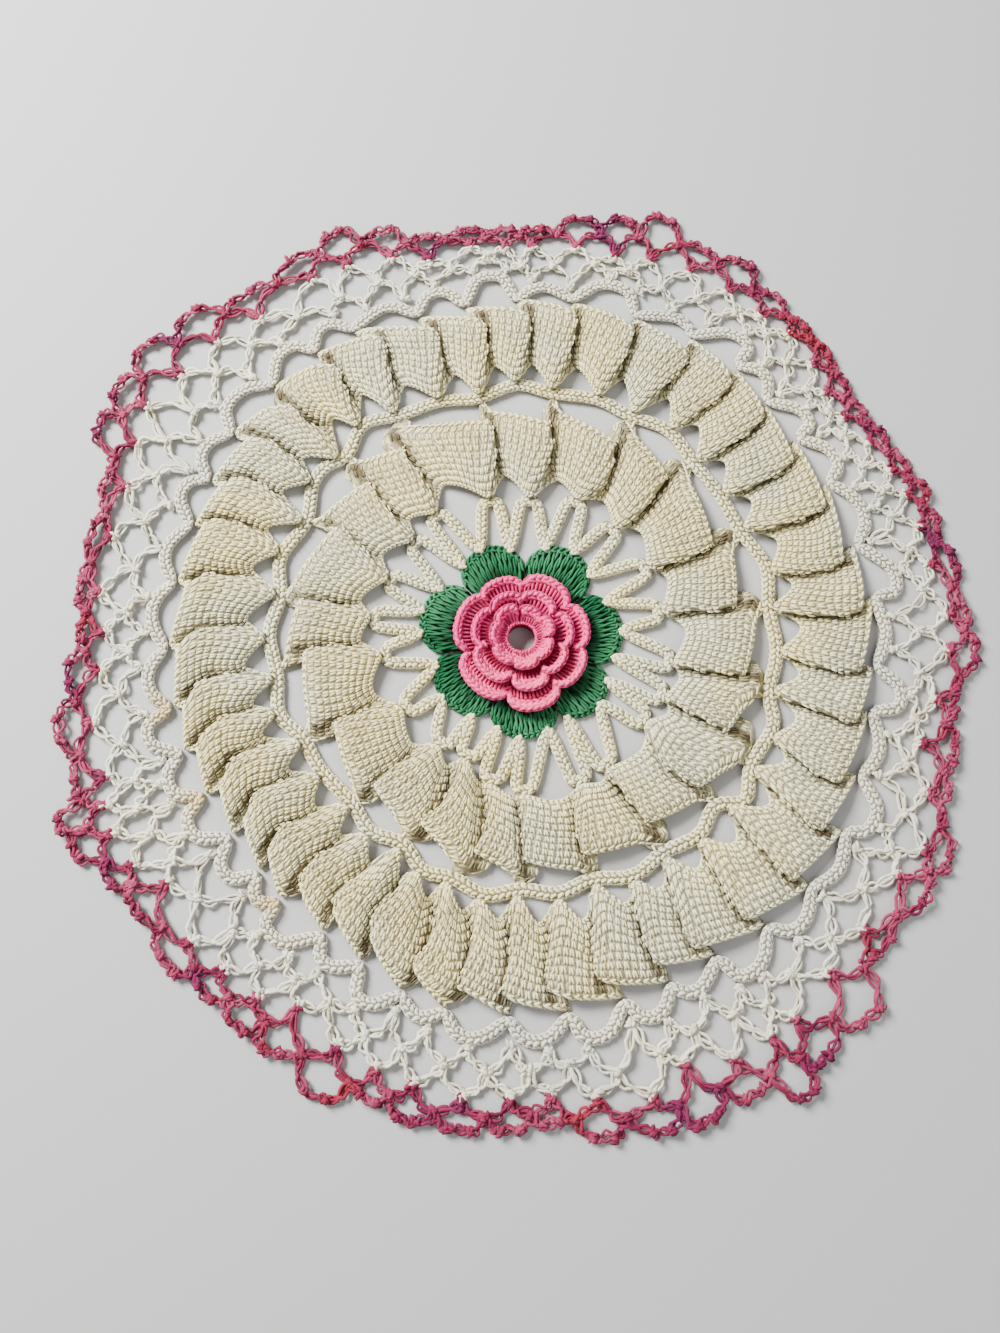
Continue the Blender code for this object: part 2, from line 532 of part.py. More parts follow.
def make_white_net(look, arc_line):
    """Two rows of chain loops between the scalloped cord and the edging."""
    n, lift = len(LOOPS), CHAIN_HIGH / 2
    places, bars = {}, []
    for i, (deg, _, _) in enumerate(LOOPS):
        foot = arc_line(deg) + NET_SEAT
        places["foot", i] = (deg, foot, lift)
        half, mean = loop_between(i, 1)
        edge = arc_line(half) + NET_SEAT
        first = max(edge + 0.42 * (mean - edge), edge + 1.0)
        places["first", i] = (half, first, lift + 0.5 + 0.4 * wobble(i, 1))
        knot = knot_radius(i, arc_line)
        places["knot", i] = (deg, knot - KNOT_GAP, lift + 0.35 + 0.3 * wobble(i, 2))
        j = (i + 1) % n
        bars += [(("foot", i), ("first", i)), (("first", i), ("foot", j))]
        bars += [(("first", i), ("knot", i)), (("first", i), ("knot", j))]
    return lace("white_net", places, bars, CHAIN_WIDE, CHAIN_HIGH, look)


def make_pink_edging(look, arc_line):
    """Two rows of chain loops, the outer ones standing free."""
    n, lift = len(LOOPS), CHAIN_HIGH / 2
    places, bars = {}, []
    for i, (deg, _, tip) in enumerate(LOOPS):
        foot = knot_radius(i, arc_line) + KNOT_GAP
        places["foot", i] = (deg, foot, lift + 0.35 + 0.3 * wobble(i, 2))
        half, mean = loop_between(i, 1)
        reach = loop_between(i, 2)[1]
        feet = max(knot_radius(i, arc_line), knot_radius((i + 1) % n, arc_line)) + KNOT_GAP
        first = max(mean + 0.5 * (reach - mean), feet + 1.2)
        places["first", i] = (half, first, lift + 0.6 + 0.4 * wobble(i, 3))
    for i, (deg, knot, tip) in enumerate(LOOPS):
        j = (i + 1) % n
        before, after = places["first", (i - 1) % n], places["first", i]
        gap = (after[0] - before[0]) % 360
        top = max(tip - CHAIN_WIDE * 0.4, min(before[1], after[1]) + 3.2)
        z = lift + 0.9 + 0.6 * wobble(i, 4)
        places["left", i] = (deg - 0.2 * gap, top - 0.6 * (1 + wobble(i, 5)), z)
        places["right", i] = (deg + 0.2 * gap, top - 0.6 * (1 - wobble(i, 5)), z)
        bars += [(("foot", i), ("first", i)), (("first", i), ("foot", j))]
        bars += [(("first", (i - 1) % n), ("left", i)), (("left", i), ("right", i))]
        bars += [(("right", i), ("first", i))]
    return lace("pink_edging", places, bars, CHAIN_WIDE, CHAIN_HIGH, look)


# ---------------------------------------------------------------- rose and leaves
def disc_ring(name, rings, look):
    """A closed body between rings of points, each ring going round the eye.

    rings run up the inside of the eye, over the top to the rim, and back underneath.
    """
    points, faces, n = [], [], len(rings[0])
    for ring in rings:
        points += ring
    for k in range(len(rings)):
        m = (k + 1) % len(rings)
        for i in range(n):
            j = (i + 1) % n
            faces.append((k * n + i, k * n + j, m * n + j, m * n + i))
    return add_piece(name, points, faces, look)


def make_petals(name, turn, hole, tip, notch, foot, rim, thick, steps, look):
    """One ring of rounded petals that cup upward towards their tips."""
    rings = [[], [], [], [], [], []]
    for row, nxt in zip(LEAVES, LEAVES[1:] + LEAVES[:1]):
        end = nxt[0] + 360 * (nxt[0] < row[0])
        for s in range(steps):
            deg = row[0] + (end - row[0]) * s / steps + turn
            round_ = math.sin(math.pi * s / steps) ** 0.55
            uneven = 1 + 0.03 * math.sin(math.radians(3 * deg) + tip)
            reach = (tip - notch * (1 - round_)) * uneven
            cup = rim - 0.7 * (1 - round_)
            body = 0.55 * (hole + reach)
            waist = foot + 0.25 * (cup - foot)
            for k, (r, z) in enumerate((
                (hole, foot), (hole, foot + thick), (body, waist + thick),
                (reach, cup + thick), (reach, cup), (body, waist),
            )):
                rings[k].append((*seen_place(*polar(deg, r), z), z))
    return disc_ring(name, rings, look)


def make_leaf_round(look):
    """Seven leaves side by side, each on an arch that is anchored behind the rose."""
    rings, steps = [[], [], [], []], 6
    for i, (dip_deg, dip_r, tip_deg, tip_r) in enumerate(LEAVES):
        nxt = LEAVES[(i + 1) % len(LEAVES)]
        end = nxt[0] + (360 if nxt[0] < dip_deg else 0)
        for s in range(steps):
            t = s / steps
            deg = dip_deg + (end - dip_deg) * t
            outer = leaf_edge(deg)
            inner = LEAF_ROOT + (LEAF_REACH - LEAF_ROOT) * math.sin(math.pi * t) ** 0.5
            inner = min(inner, outer - 4.0)
            for k, (r, z) in enumerate((
                (inner, 0.0), (inner, LEAF_HIGH), (outer, LEAF_HIGH), (outer, 0.0)
            )):
                rings[k].append((*polar(deg, r), z))
    return disc_ring("leaf_round", rings, look)


# ---------------------------------------------------------------- assembly
RING_LINE = smooth_ring(CORD_RING, 2)


def arc_outer_edge(stations):
    """A function that gives the scalloped cord's outer edge at any angle."""
    rows = sorted((d % 360, r + w * 0.62) for d, r, w in stations)

    def edge(deg):
        return max(around(rows, (deg + k) % 360, 1) for k in (-1.6, -0.8, 0, 0.8, 1.6))

    return edge


def main():
    for old in list(bpy.data.objects):
        bpy.data.objects.remove(old, do_unlink=True)
    cream = yarn_look("cream_cotton", (0.66, 0.60, 0.48))
    white = yarn_look("white_cotton", (0.60, 0.57, 0.50))
    rose = yarn_look("rose_cotton", (0.72, 0.15, 0.29))
    pink = yarn_look("variegated_pink_cotton", (0.60, 0.10, 0.21))
    green = yarn_look("green_cotton", (0.015, 0.19, 0.085))
    for ring in PETAL_RINGS:
        make_petals(*ring, rose)
    make_leaf_round(green)
    make_star_cord(cream)
    make_inner_ruffle(cream)
    make_middle_cord(cream)
    make_outer_ruffle(cream)
    arcs = arc_stations()
    cord("outer_cord", arcs, CORD_HIGH, white)
    make_white_net(white, arc_outer_edge(arcs))
    make_pink_edging(pink, arc_outer_edge(arcs))


main()
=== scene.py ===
"""Looks of a crocheted lace doily: strips, cords, rose, leaves, net and edging, stitch by stitch.

Sizes are in millimetres until a mesh is made, which is in metres. Directions are degrees clockwise
from 12 o'clock, and radii run from the rose. The tables give each place where it is seen in the
photograph, on the plane that the doily lies on; real_place() then moves what stands above that
plane back along the line of sight.
"""

import math
from collections import namedtuple

import bpy
import numpy as np
from bpy.props import FloatProperty, FloatVectorProperty, PointerProperty
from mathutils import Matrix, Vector


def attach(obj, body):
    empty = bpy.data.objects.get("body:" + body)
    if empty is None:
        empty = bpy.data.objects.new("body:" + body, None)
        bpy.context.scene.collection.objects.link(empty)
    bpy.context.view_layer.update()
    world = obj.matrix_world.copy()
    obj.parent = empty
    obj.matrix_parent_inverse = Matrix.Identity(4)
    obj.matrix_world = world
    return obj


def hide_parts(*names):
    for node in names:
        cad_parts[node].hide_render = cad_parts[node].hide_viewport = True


bl_info = {
    "name": "Crocheted doily",
    "version": (1, 0, 0),
    "blender": (4, 5, 0),
    "location": "3D View > Sidebar > Doily",
    "description": "Makes a crocheted doily with a rose, pleated rounds, a chain net and an edging",
    "category": "Object",
}

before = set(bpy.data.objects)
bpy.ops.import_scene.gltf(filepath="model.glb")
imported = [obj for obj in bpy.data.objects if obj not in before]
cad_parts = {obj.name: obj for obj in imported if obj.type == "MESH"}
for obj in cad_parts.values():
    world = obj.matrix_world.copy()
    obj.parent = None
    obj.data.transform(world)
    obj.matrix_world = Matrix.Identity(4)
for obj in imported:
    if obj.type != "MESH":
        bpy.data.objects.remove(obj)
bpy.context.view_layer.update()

# ---------------------------------------------------------------- places, in mm and degrees
VIEWER = (-6.825, -75.36, 316.24)  # where the photograph was taken from, over the rose
ROSE_AT = (0.616, -2.917)  # the rose, from the middle of the doily's outline
VIEW_TILT = 12.0  # how far the line of sight leans from the vertical
VIEW_LENS, VIEW_SENSOR = 27.0, 36.0  # lens, and the height of the sensor

# A row for each leaf: the dip before it, and its tip.
LEAVES = (
    # dip_deg, dip_r, tip_deg, tip_r
    (3, 24.5, 27, 35.5),
    (53, 25.0, 82, 33.5),
    (107, 25.5, 130, 33.5),
    (153, 25.0, 180, 32.5),
    (204, 24.0, 238, 31.5),
    (261, 25.0, 292, 34.5),
    (315, 25.0, 338, 35.0),
)

# A row for each pleat of the inner round. star: the zigzag's foot on the leaves before the pleat.
# tip: where the pleat's ridge starts, on the zigzag. mouth: top of the open arch before it.
# ridge: where the ridge ends. high and low: the outer edge at the pleat's start and at its ridge.
# seat: where the outer edge is sewn to the cord ring, beside the ridge.
INNER_PLEATS = (
    # star_deg, tip_deg, tip_r, mouth_deg, mouth_r, ridge, high, low, seat_deg
    (353.5, 363.5, 50.0, 355, 58.0, 368.5, 82.0, 77.5, 367.5),
    (14.5, 21, 53.0, 13, 57.5, 28, 82.0, 77.0, 26.5),
    (29.5, 38.5, 50.5, 30, 56.0, 43, 82.5, 76.0, 43),
    (44.5, 58.5, 49.5, 46.5, 55.0, 63, 80.0, 72.0, 64),
    (64, 77, 47.5, 66, 53.0, 81.5, 77.0, 71.5, 82),
    (83, 97.5, 50.0, 86, 54.0, 98, 77.5, 73.0, 103),
    (99, 111, 50.0, 103, 52.5, 114, 76.0, 72.0, 119),
    (114.5, 123, 48.0, 116.5, 52.5, 130, 78.5, 73.0, 130.5),
    (128, 146, 49.5, 133, 52.0, 145, 75.5, 70.5, 148),
    (149, 157.5, 50.0, 151, 52.0, 163, 74.0, 70.5, 164),
    (163, 179, 49.5, 167, 52.5, 179, 75.0, 70.0, 181),
    (180, 192, 47.0, 183, 50.0, 192.5, 73.0, 68.5, 196),
    (194, 205, 42.0, 196, 47.5, 208.5, 72.0, 66.0, 211),
    (213, 218, 43.0, 211, 46.5, 224, 69.5, 66.0, 226),
    (235, 240, 44.0, 227, 48.0, 245, 71.0, 65.5, 246),
    (255, 264.5, 45.5, 252, 50.5, 267, 73.0, 70.5, 263),
    (276, 279.5, 50.0, 271, 52.5, 280.5, 77.0, 74.0, 281),
    (288, 296, 49.0, 285.5, 54.5, 302, 78.0, 73.0, 300),
    (304, 314, 50.0, 303.5, 54.5, 317, 79.5, 75.5, 318),
    (324, 327, 53.0, 319, 56.0, 328, 83.0, 78.5, 333),
    (336.5, 348, 51.0, 335, 60.0, 351.5, 83.0, 78.0, 351),
)

# A row for each pleat of the outer round, named as above. Its tips are sewn to the cord ring.
# rim: the outer edge near the pleat's start. corner: the outer edge at its ridge. peak: top of the
# scalloped cord's arc after it.
OUTER_PLEATS = (
    # ridge, tip_deg, mouth_deg, mouth_r, rim, corner, seat_deg, seat_r, peak_deg, peak_r
    (9, 7, 2.5, 99.0, 123.5, 119.5, 8.5, 123.0, 14.5, 133.5),
    (19, 17, 11.5, 99.5, 123.5, 119.0, 19, 122.5, 25.5, 129.0),
    (29.5, 25.5, 21, 100.0, 122.5, 117.0, 28.5, 123.0, 35, 133.5),
    (38, 34.5, 31, 100.0, 123.5, 117.0, 37.5, 121.5, 41, 127.5),
    (46, 43.5, 39, 97.5, 120.0, 115.0, 45, 118.0, 50.5, 126.5),
    (55, 53, 48, 93.5, 115.5, 112.0, 53, 116.5, 58.5, 125.0),
    (65, 62.5, 58, 92.0, 115.0, 112.5, 62, 116.0, 68, 123.5),
    (75, 73.5, 68, 92.5, 113.5, 110.0, 73.5, 115.0, 80, 126.0),
    (84, 82, 78, 92.0, 115.0, 112.0, 82.5, 115.5, 88, 119.5),
    (94.5, 92, 87, 92.0, 113.0, 110.0, 94, 113.5, 98.5, 124.0),
    (103.5, 101, 97, 91.0, 112.0, 110.0, 101.5, 113.0, 107.5, 119.5),
    (114, 111, 106, 92.0, 112.0, 110.0, 112, 114.0, 117.5, 125.0),
    (122.5, 119, 115, 92.5, 113.0, 111.5, 121, 116.5, 126.5, 122.5),
    (132, 129, 124, 94.5, 114.5, 113.0, 131, 117.0, 136, 124.0),
    (141.5, 138.5, 134, 93.0, 114.0, 111.5, 140, 115.5, 145.5, 125.0),
    (151, 147, 143, 91.0, 112.0, 109.5, 149, 113.5, 154, 121.0),
    (157.5, 155.5, 151, 89.5, 111.5, 108.5, 157, 114.0, 161, 123.0),
    (167, 163.5, 158.5, 89.0, 112.0, 108.0, 164.5, 114.0, 169.5, 124.5),
    (175.5, 172, 168, 90.0, 113.5, 108.5, 173, 114.5, 178, 123.5),
    (183, 181, 177, 89.0, 113.5, 110.0, 182, 115.0, 187.5, 123.5),
    (190.5, 189, 185, 88.0, 111.0, 109.5, 191.5, 115.0, 195, 120.5),
    (198, 197, 192.5, 87.0, 112.0, 106.5, 198.5, 113.5, 203, 122.0),
    (207, 204, 200, 86.5, 110.0, 104.0, 206, 110.5, 210.5, 117.5),
    (214.5, 210, 207, 84.5, 108.0, 102.5, 213.5, 109.0, 219.5, 120.5),
    (223, 218, 214, 85.0, 108.0, 103.0, 222.5, 109.5, 225, 116.0),
    (232, 226, 223, 84.0, 107.0, 103.0, 228, 108.5, 231.5, 118.5),
    (239.5, 236, 231, 84.0, 108.0, 103.5, 235.5, 109.0, 240, 120.5),
    (247, 245, 241, 85.0, 108.5, 106.0, 243.5, 110.5, 247.5, 121.0),
    (255.5, 253.5, 250, 88.5, 110.0, 109.0, 251.5, 112.5, 255.5, 123.5),
    (264, 261.5, 257, 89.0, 111.5, 110.5, 259, 113.0, 264, 121.5),
    (273, 271, 265, 90.0, 112.0, 112.0, 269, 114.0, 275, 121.5),
    (283, 281.5, 275, 90.0, 112.5, 112.0, 280, 114.5, 285, 122.0),
    (293, 291, 286, 92.5, 114.0, 113.0, 290, 115.5, 295, 125.5),
    (301.5, 299.5, 295, 93.0, 115.5, 114.5, 298, 117.5, 302.5, 127.0),
    (310, 308, 303, 95.5, 118.0, 116.5, 306.5, 120.5, 311.5, 131.0),
    (316.3, 316, 311, 97.5, 122.0, 115.0, 317, 123.0, 322, 132.5),
    (327, 324, 321, 101.5, 123.5, 117.0, 325.5, 124.0, 329, 132.5),
    (336, 332, 328.5, 103.0, 123.5, 119.0, 332.5, 124.5, 338, 129.5),
    (344.5, 342, 336.5, 99.0, 121.0, 116.0, 343, 121.0, 347, 130.0),
    (353, 351, 347, 97.5, 119.5, 116.5, 351, 121.0, 355.5, 133.5),
    (361, 359, 355, 98.5, 121.5, 118.0, 359.5, 121.5, 364, 129.0),
)

# Centre line of the cord ring between the rounds.
CORD_RING = (
    # deg, r
    (0, 91.0), (7.5, 88.5), (17, 89.5), (25, 88.0), (34.5, 89.5), (43.5, 85.5), (53, 84.0),
    (62.5, 82.5), (72.5, 85.0), (82, 82.0), (92, 83.0), (102, 81.5), (109, 85.0), (119, 83.0),
    (126, 87.0), (131, 80.5), (138, 83.0), (147, 80.5), (155, 82.0), (164, 78.5), (172, 80.5),
    (180, 78.5), (188, 81.0), (196, 78.0), (203, 79.0), (210, 74.5), (218, 77.0), (226, 74.5),
    (237, 76.0), (246, 76.5), (253, 81.0), (262, 79.5), (272, 82.0), (281, 80.5), (290, 84.5),
    (300, 82.5), (308, 88.5), (313, 89.5), (318, 87.5), (325, 93.0), (333, 89.5), (342, 89.0),
    (350, 87.0), (355, 89.0),
)

# A row for each loop of the outer chain rows. knot: where the coloured edging starts on the
# net. tip: the outermost point of the edging there.
LOOPS = (
    # deg, knot, tip
    (2, 144.5, 153), (8, 145.5, 158.5), (13.5, 144.5, 161), (18.5, 146.5, 165.5),
    (24, 147.5, 159), (30, 146.5, 160.5), (35.5, 144, 155), (40.5, 145, 152),
    (45.5, 141.5, 149.5), (50, 137, 146), (54.5, 135.5, 139.5), (59.5, 137.5, 143),
    (64.5, 138.5, 141), (68.5, 139.5, 147), (73.5, 138.5, 144), (79, 138, 147.5),
    (86, 140, 147), (91, 138.5, 149), (98, 134, 142), (104.5, 131.5, 143.5),
    (111, 137, 143), (118, 141.5, 151), (122.5, 138, 149.5), (131, 138.5, 146.5),
    (138, 139, 157.5), (145, 142.5, 158), (148.5, 143, 163), (153.5, 142.5, 155.5),
    (159.5, 138, 156.5), (164.5, 144, 155), (171, 140.5, 153), (176.5, 138, 147),
    (181.5, 139, 149.5), (187.5, 140, 150.5), (193.5, 139, 150.5), (198.5, 138, 147.5),
    (204, 136.5, 153), (211, 132, 148), (216, 136, 148), (221.5, 136.5, 147),
    (227, 138, 149.5), (235, 134, 147.5), (239.5, 140, 150), (244.5, 142, 156),
    (248, 141, 158), (251.5, 138, 150), (259, 140, 152), (266, 136.5, 148),
    (271.5, 136, 143.5), (277, 139.5, 147.5), (285, 140.5, 149), (292, 143, 152),
    (298, 148, 164), (303, 152.5, 166.5), (309, 150.5, 169), (315.5, 150.5, 166.5),
    (322, 147.5, 160), (331, 150.5, 162), (336, 150, 165), (342, 147.5, 160),
    (347, 142.5, 153.5), (353, 145.5, 153.5), (358, 144, 152.5),
)

# Each ring of petals: its cloth's heights at the eye and at the rim, the radii of the eye and of
# the notches, how far the rim curls up, how much of it the ring in front hides, which is where its
# painted shade starts to fade, and a row for each petal. band: how many braided rows its rim has.
PETALS = {
    # foot, rim, eye, notch, curl, hidden
    "back": (2.4, 4.6, 6.0, 17.8, 1.3, 0.62, (
        # deg, half_deg, tip_r, band
        (28, 27, 22.8, 1), (77, 25, 22.8, 1), (121, 25, 23.0, 1), (168, 26, 24.6, 2),
        (224, 31, 23.2, 2), (289, 32, 22.6, 1), (338, 24, 21.8, 1),
    )),
    "middle": (4.0, 6.7, 5.5, 12.6, 1.4, 0.52, (
        (26, 28, 16.4, 1), (79, 27, 17.6, 1), (124, 25, 16.8, 1), (168, 25, 18.4, 2),
        (227, 33, 17.8, 2), (285, 30, 16.8, 1), (336, 25, 15.8, 1),
    )),
    "front": (5.9, 9.0, 4.3, 8.7, 0.6, -0.1, (
        (22, 25, 10.3, 1), (68, 24, 11.2, 1), (118, 28, 10.9, 1), (170, 27, 11.3, 2),
        (222, 28, 11.0, 2), (274, 27, 10.4, 1), (325, 28, 11.2, 1),
    )),
}

# ---------------------------------------------------------------- working rules, in mm
SEED = 11
CLOTH = 0.9  # thickness of the ground under a strip's stitches
SEWN_ON = 0.8  # how far a sewn corner lies over its cord
INNER_SEWN_ON = 1.92  # the same at the inner round's narrow seats
TIP_HALF = 1.0  # half the width of a pleat's tip on its cord
FOLD_LOW, FOLD_TOP = 0.7, 5.4  # heights of the cloth's middle in the valleys and on the ridges
CORD_WIDE = 4.8  # the cord between the rounds
CORD_HIGH = 2.0  # the ground of every cord, under its stitches
ARC_WIDE, ARC_FOOT = 4.5, 2.9  # the scalloped cord along its arcs and at its feet
STAR_WIDE, STAR_FOOT = 4.1, 1.3  # the zigzag cord along its legs and at its feet
STAR_OVER = 1.8  # how far the zigzag's feet lie over the leaves
CHAIN_WIDE, CHAIN_HIGH = 2.3, 1.7
KNOT_GAP = 1.5  # from a net's knot to the edging's next to it
NET_ROOM, NET_SEAT = 6.0, 1.2  # room for two rows of loops, and from the cord to the first
LEAF_REACH, LEAF_ROOT = 20.5, 11.0  # radii of the leaves' inner arches, at their top and foot
PETAL_LEAN = 0.4  # how unevenly the petals stand
RIM_THREADS = 1.15  # width of a petal's rim threads
POST_EVERY = {"petal": 1.5, "leaf": 2.0}  # from one post to the next
LOOP_EVERY = {"petal": 2.2, "leaf": 2.1}  # from one loop of a rim to the next
POSTS_END = {1: 0.88, 2: 0.74}  # share of a petal that its posts take, by its rim's braided rows
PETAL_RIM = 1.2  # a petal's rim as it is worked, over the straight width of the petal
LEAF_MIDDLE_AT, LEAF_RIM_AT = 30.5, 34.1  # radii that a leaf's posts and loops are counted at
CURVED = 1.25  # area of a petal or leaf as it is worked, over that of its plain cloth
STRIP_ROWS = (
    # across, share of the folds' height, mm that a pleat reaches under the one before it
    (0.0, 0.55, 1.0), (0.25, 0.92, 2.0), (0.6, 1.0, 3.0), (0.88, 0.95, 2.8), (1.0, 0.72, 0.0),
)
# How far the ridges bow out over the next pleat, in mm, at the last four of STRIP_ROWS. Below 0
# they bow the other way, and a pleat's corner is rounded.
INNER_BOWS = (
    # ridge, at 0.25, at 0.6, at 0.88, at the outer edge
    (8.5, 1.0, 1.7, -1.0, -2.5), (28, 2.5, 0.5, -3.5, -5.5), (43, 0.8, -1.0, -3.0, -4.0),
    (63, 0.3, 0.5, -1.0, -2.0), (81.5, -1.0, -0.3, -2.0, -2.5), (98, 0.1, 0.3, 0.0, -0.3),
    (114, -0.3, -0.4, -1.0, -1.5), (130, 3.8, 3.0, 0.3, -1.0), (145, 0.0, 0.0, 0.0, -1.0),
    (163, 2.3, 2.2, 1.2, 0.3), (179, -0.3, -0.4, -0.7, -1.2), (192.5, -1.8, -2.4, -1.2, -0.5),
    (208.5, -1.8, -2.4, -1.2, -0.5), (224, 1.4, 1.9, 0.9, 0.0), (267, 1.4, 1.7, 0.8, 0.0),
    (280.5, 0.7, 0.9, 0.4, 0.0), (302, 1.1, 1.5, 0.7, 0.0), (317, -0.8, -0.7, -0.4, -0.5),
    (328, 1.1, 1.5, 0.7, 0.0), (351.5, 1.4, 1.9, 0.9, 0.0),
)
OUTER_BOWS = (
    # the same columns
    (9, 1.4, 1.9, 0.9, 0.0), (94.5, 1.4, 1.9, 0.9, 0.0), (103.5, 0.4, 0.6, 0.3, 0.0),
    (114, 1.4, 1.9, 0.9, 0.0), (132, 0.5, 0.6, 0.2, 0.0), (141.5, 0.9, 1.2, 0.6, 0.0),
    (167, 1.2, 1.6, 0.8, 0.0), (175.5, 0.8, 1.1, 0.5, 0.0), (183, -0.5, -0.8, -0.4, -0.5),
    (190.5, -1.5, -2.0, -1.0, -0.5), (198, -1.5, -2.0, -1.0, -0.5), (207, 1.0, 2.0, -0.5, -2.5),
    (214.5, 2.6, 2.6, 1.0, -2.0), (223, 2.0, 2.0, -1.0, -4.0), (232, 1.5, 1.7, -2.2, -5.0),
    (247, 1.0, 1.3, -3.5, -8.0), (255.5, 0.5, -0.1, -5.0, -10.0), (264, 0.0, -0.7, -6.0, -12.0),
    (273, 0.6, -0.7, -5.0, -10.0), (283, 0.8, -0.3, -3.5, -8.0), (293, 1.7, 0.4, -1.5, -5.0),
    (301.5, 1.0, 0.8, -3.2, -8.0), (310, 0.3, -0.5, -3.0, -6.0), (316.3, 0.6, 0.0, -0.2, -1.0),
    (327, -0.4, 0.0, -0.5, -1.0), (336, 0.6, 0.8, 0.4, 0.0), (344.5, 1.4, 1.9, 0.9, 0.0),
)
RISING = (0.0, 0.12, 0.3, 0.5, 0.72)  # shares of a pleat's width where its slope is made
RIDGE_ROUND = 2.0  # from a ridge's top to its edge
TURNED_IN = 0.45  # share of the way to the valley that a pleat's turned-in end reaches
SEAT_BESIDE = 0.12  # share of a pleat's width in which its rim leaves the seat
# the dark line is a painted shadow, and the shade beside it is painted shade
LINE_TO, SHADE_TO = 2.1, 3.8  # how far past a ridge the dark line and the shade beside it reach
# Lengths of the stitches along, as shares of a single crochet's width.
STRIP_PITCH, EDGE_PITCH, CORD_PITCH = 0.84, 0.88, 0.78
# The two ends of a V stitch's threads: shares of its row across, half its spread, lift.
STITCH_ENDS = ((-0.60, 0.09, -0.14), (0.50, 0.25, 0.14))
# A strip's braided edge, a row for each run of slanted loops.
EDGE_BRAIDS = (
    # near and far: shares across at a loop's start and end, lift, start, end, fat
    (0.0, 0.045, 0.05, -0.10, 0.95, 1.35), (0.070, 0.030, 0.20, 0.0, 0.85, 1.2),
    (0.006, 0.010, -0.40, 0.30, 1.25, 1.2),
)
# A cord's stitches from its middle line outwards, a row for each run of loops.
CORD_BRAIDS = (
    # start, end, from and to: shares of its width off the middle, fat, lift
    (0.0, 1.10, 0.06, 0.27, 1.7, 0.10), (0.45, 1.15, 0.20, 0.34, 1.25, 0.12),
    (0.20, 1.25, 0.34, 0.44, 1.5, 0.05), (0.70, 1.75, 0.48, 0.42, 1.4, -0.05),
)
# A leaf's looped rim, a row for each run of slanted loops.
LEAF_BRAIDS = (
    # from and to: shares of the way to the rim, lift, fat
    (0.88, 1.03, 0.4, 1.3), (0.93, 0.84, 0.7, 1.2), (1.03, 0.94, 0.0, 1.3),
)
STRIP_MARGIN, STITCH_ROWS = 0.07, 9  # a strip's edge, as a share across, and its rows of stitches
CORD_SECTION = ((0.0, 0.30), (0.13, 0.84), (0.5, 1.0), (0.87, 0.84), (1.0, 0.30))  # across, height
STAINS = {
    # places where the cotton has yellowed: deg, r, how far the yellowing reaches, its strength
    "outer_cord": ((258.6, 117.5, 5.5, 0.75), (243, 114, 5.0, 0.7), (223, 112.5, 5.0, 0.7)),
    "middle_cord": ((242, 79, 3.5, 0.8),),
    "star_cord": (),
}
THROAT = ((4.6, 5.6, 0.8), (4.35, 5.4, 6.0))  # the rose's eye: inner and outer radius, height
THROAT_AREA = 2 * math.pi * 5.0 * 5.7
LONG_BAR = 5.0  # bars of the net and edging from this length on are two stitches long
BAR_BEND = 0.55  # how far a bar is drawn out to the corner that it turns round
APART = 1.12  # between the strands of a bar
KNOT_THREADS = 9  # lengths of thread in a knot
WOUND = 1.15  # area of the bars and their knots, over that of the bars
VALLEYS = (
    # deg, where the valley after a pleat leaves the inner edge: 0 at the tip, 1 at the next mouth
    (0, 1.0), (22, 1.0), (34, 0.4), (152, 0.3), (164, 0.7), (180, 0.9), (210, 0.8),
    (250, 0.7), (300, 0.8), (335, 0.9),
)

# ---------------------------------------------------------------- flat sizes in mm, stage in m
LEAVES_WIDE = 70
PETALS_WIDE = {"back": 46, "middle": 38, "front": 32}
STRIP_WIDE = 26
LACE_WIDE, NET_LONG, EDGING_LONG = 18, 870, 1050
LEAST_SIDE, LEAST_SHARE = 10.0, 0.3  # least side of a flat size, and least share of it for the area
FLOOR_HALF, FLOOR_COLOUR = 3.0, (0.46, 0.455, 0.45, 1.0)
# colour of the yellowed stains, and of the painted light on the pleats' ridges
STAIN_AND_RIDGE_LIGHT_COLOUR = (0.62, 0.44, 0.18)
# Scales of the cotton's unevenness and of the patches of its painted shade, from the widest to the
# finest.
BLOTCHES, SHADES, SHADE_PATCHES, WEAR, SPECKS, TWIST = 28.0, 52.0, 120.0, 260.0, 420.0, 1900.0
TWIST_HIGH, STITCH_HIGH = 0.00025, 0.0005  # bumps of the thread and of the ground, in m
LIGHTS = (
    # name, place, size, power
    ("key light", (-0.62, 0.45, 0.62), 0.4, 36.0),
    ("fill light", (0.6, -0.35, 0.8), 0.9, 4.0),
)
ROOM_COLOUR, ROOM_STRENGTH = (0.96, 0.97, 1.0, 1.0), 0.40


def polar(deg, r):
    """Point on the table plane, clockwise from 12 o'clock."""
    a = math.radians(deg)
    return r * math.sin(a), r * math.cos(a)


def turn(deg, r, z):
    """Points (..., 3) from arrays of directions, radii and heights."""
    a = np.radians(deg)
    return np.stack([r * np.sin(a), r * np.cos(a), np.broadcast_to(z, a.shape) * 1.0], -1)


def real_place(p):
    """Moves points from where they are seen on the table plane to their real places."""
    k = p[..., 2:3] / VIEWER[2]
    out = p.astype(float).copy()
    out[..., :2] += (np.array(VIEWER[:2]) - p[..., :2]) * k
    return out + np.array((*ROSE_AT, 0))


def over_rose(p):
    """Real places of points that are given from the rose itself."""
    return p + np.array((*ROSE_AT, 0))


def around(rows, deg, column):
    """Value of a column at any angle, for rows that start with their angle."""
    a = np.array([row[0] for row in rows], float)
    v = np.array([row[column] for row in rows], float)
    return np.interp(deg, np.r_[a - 360, a, a + 360], np.r_[v, v, v])


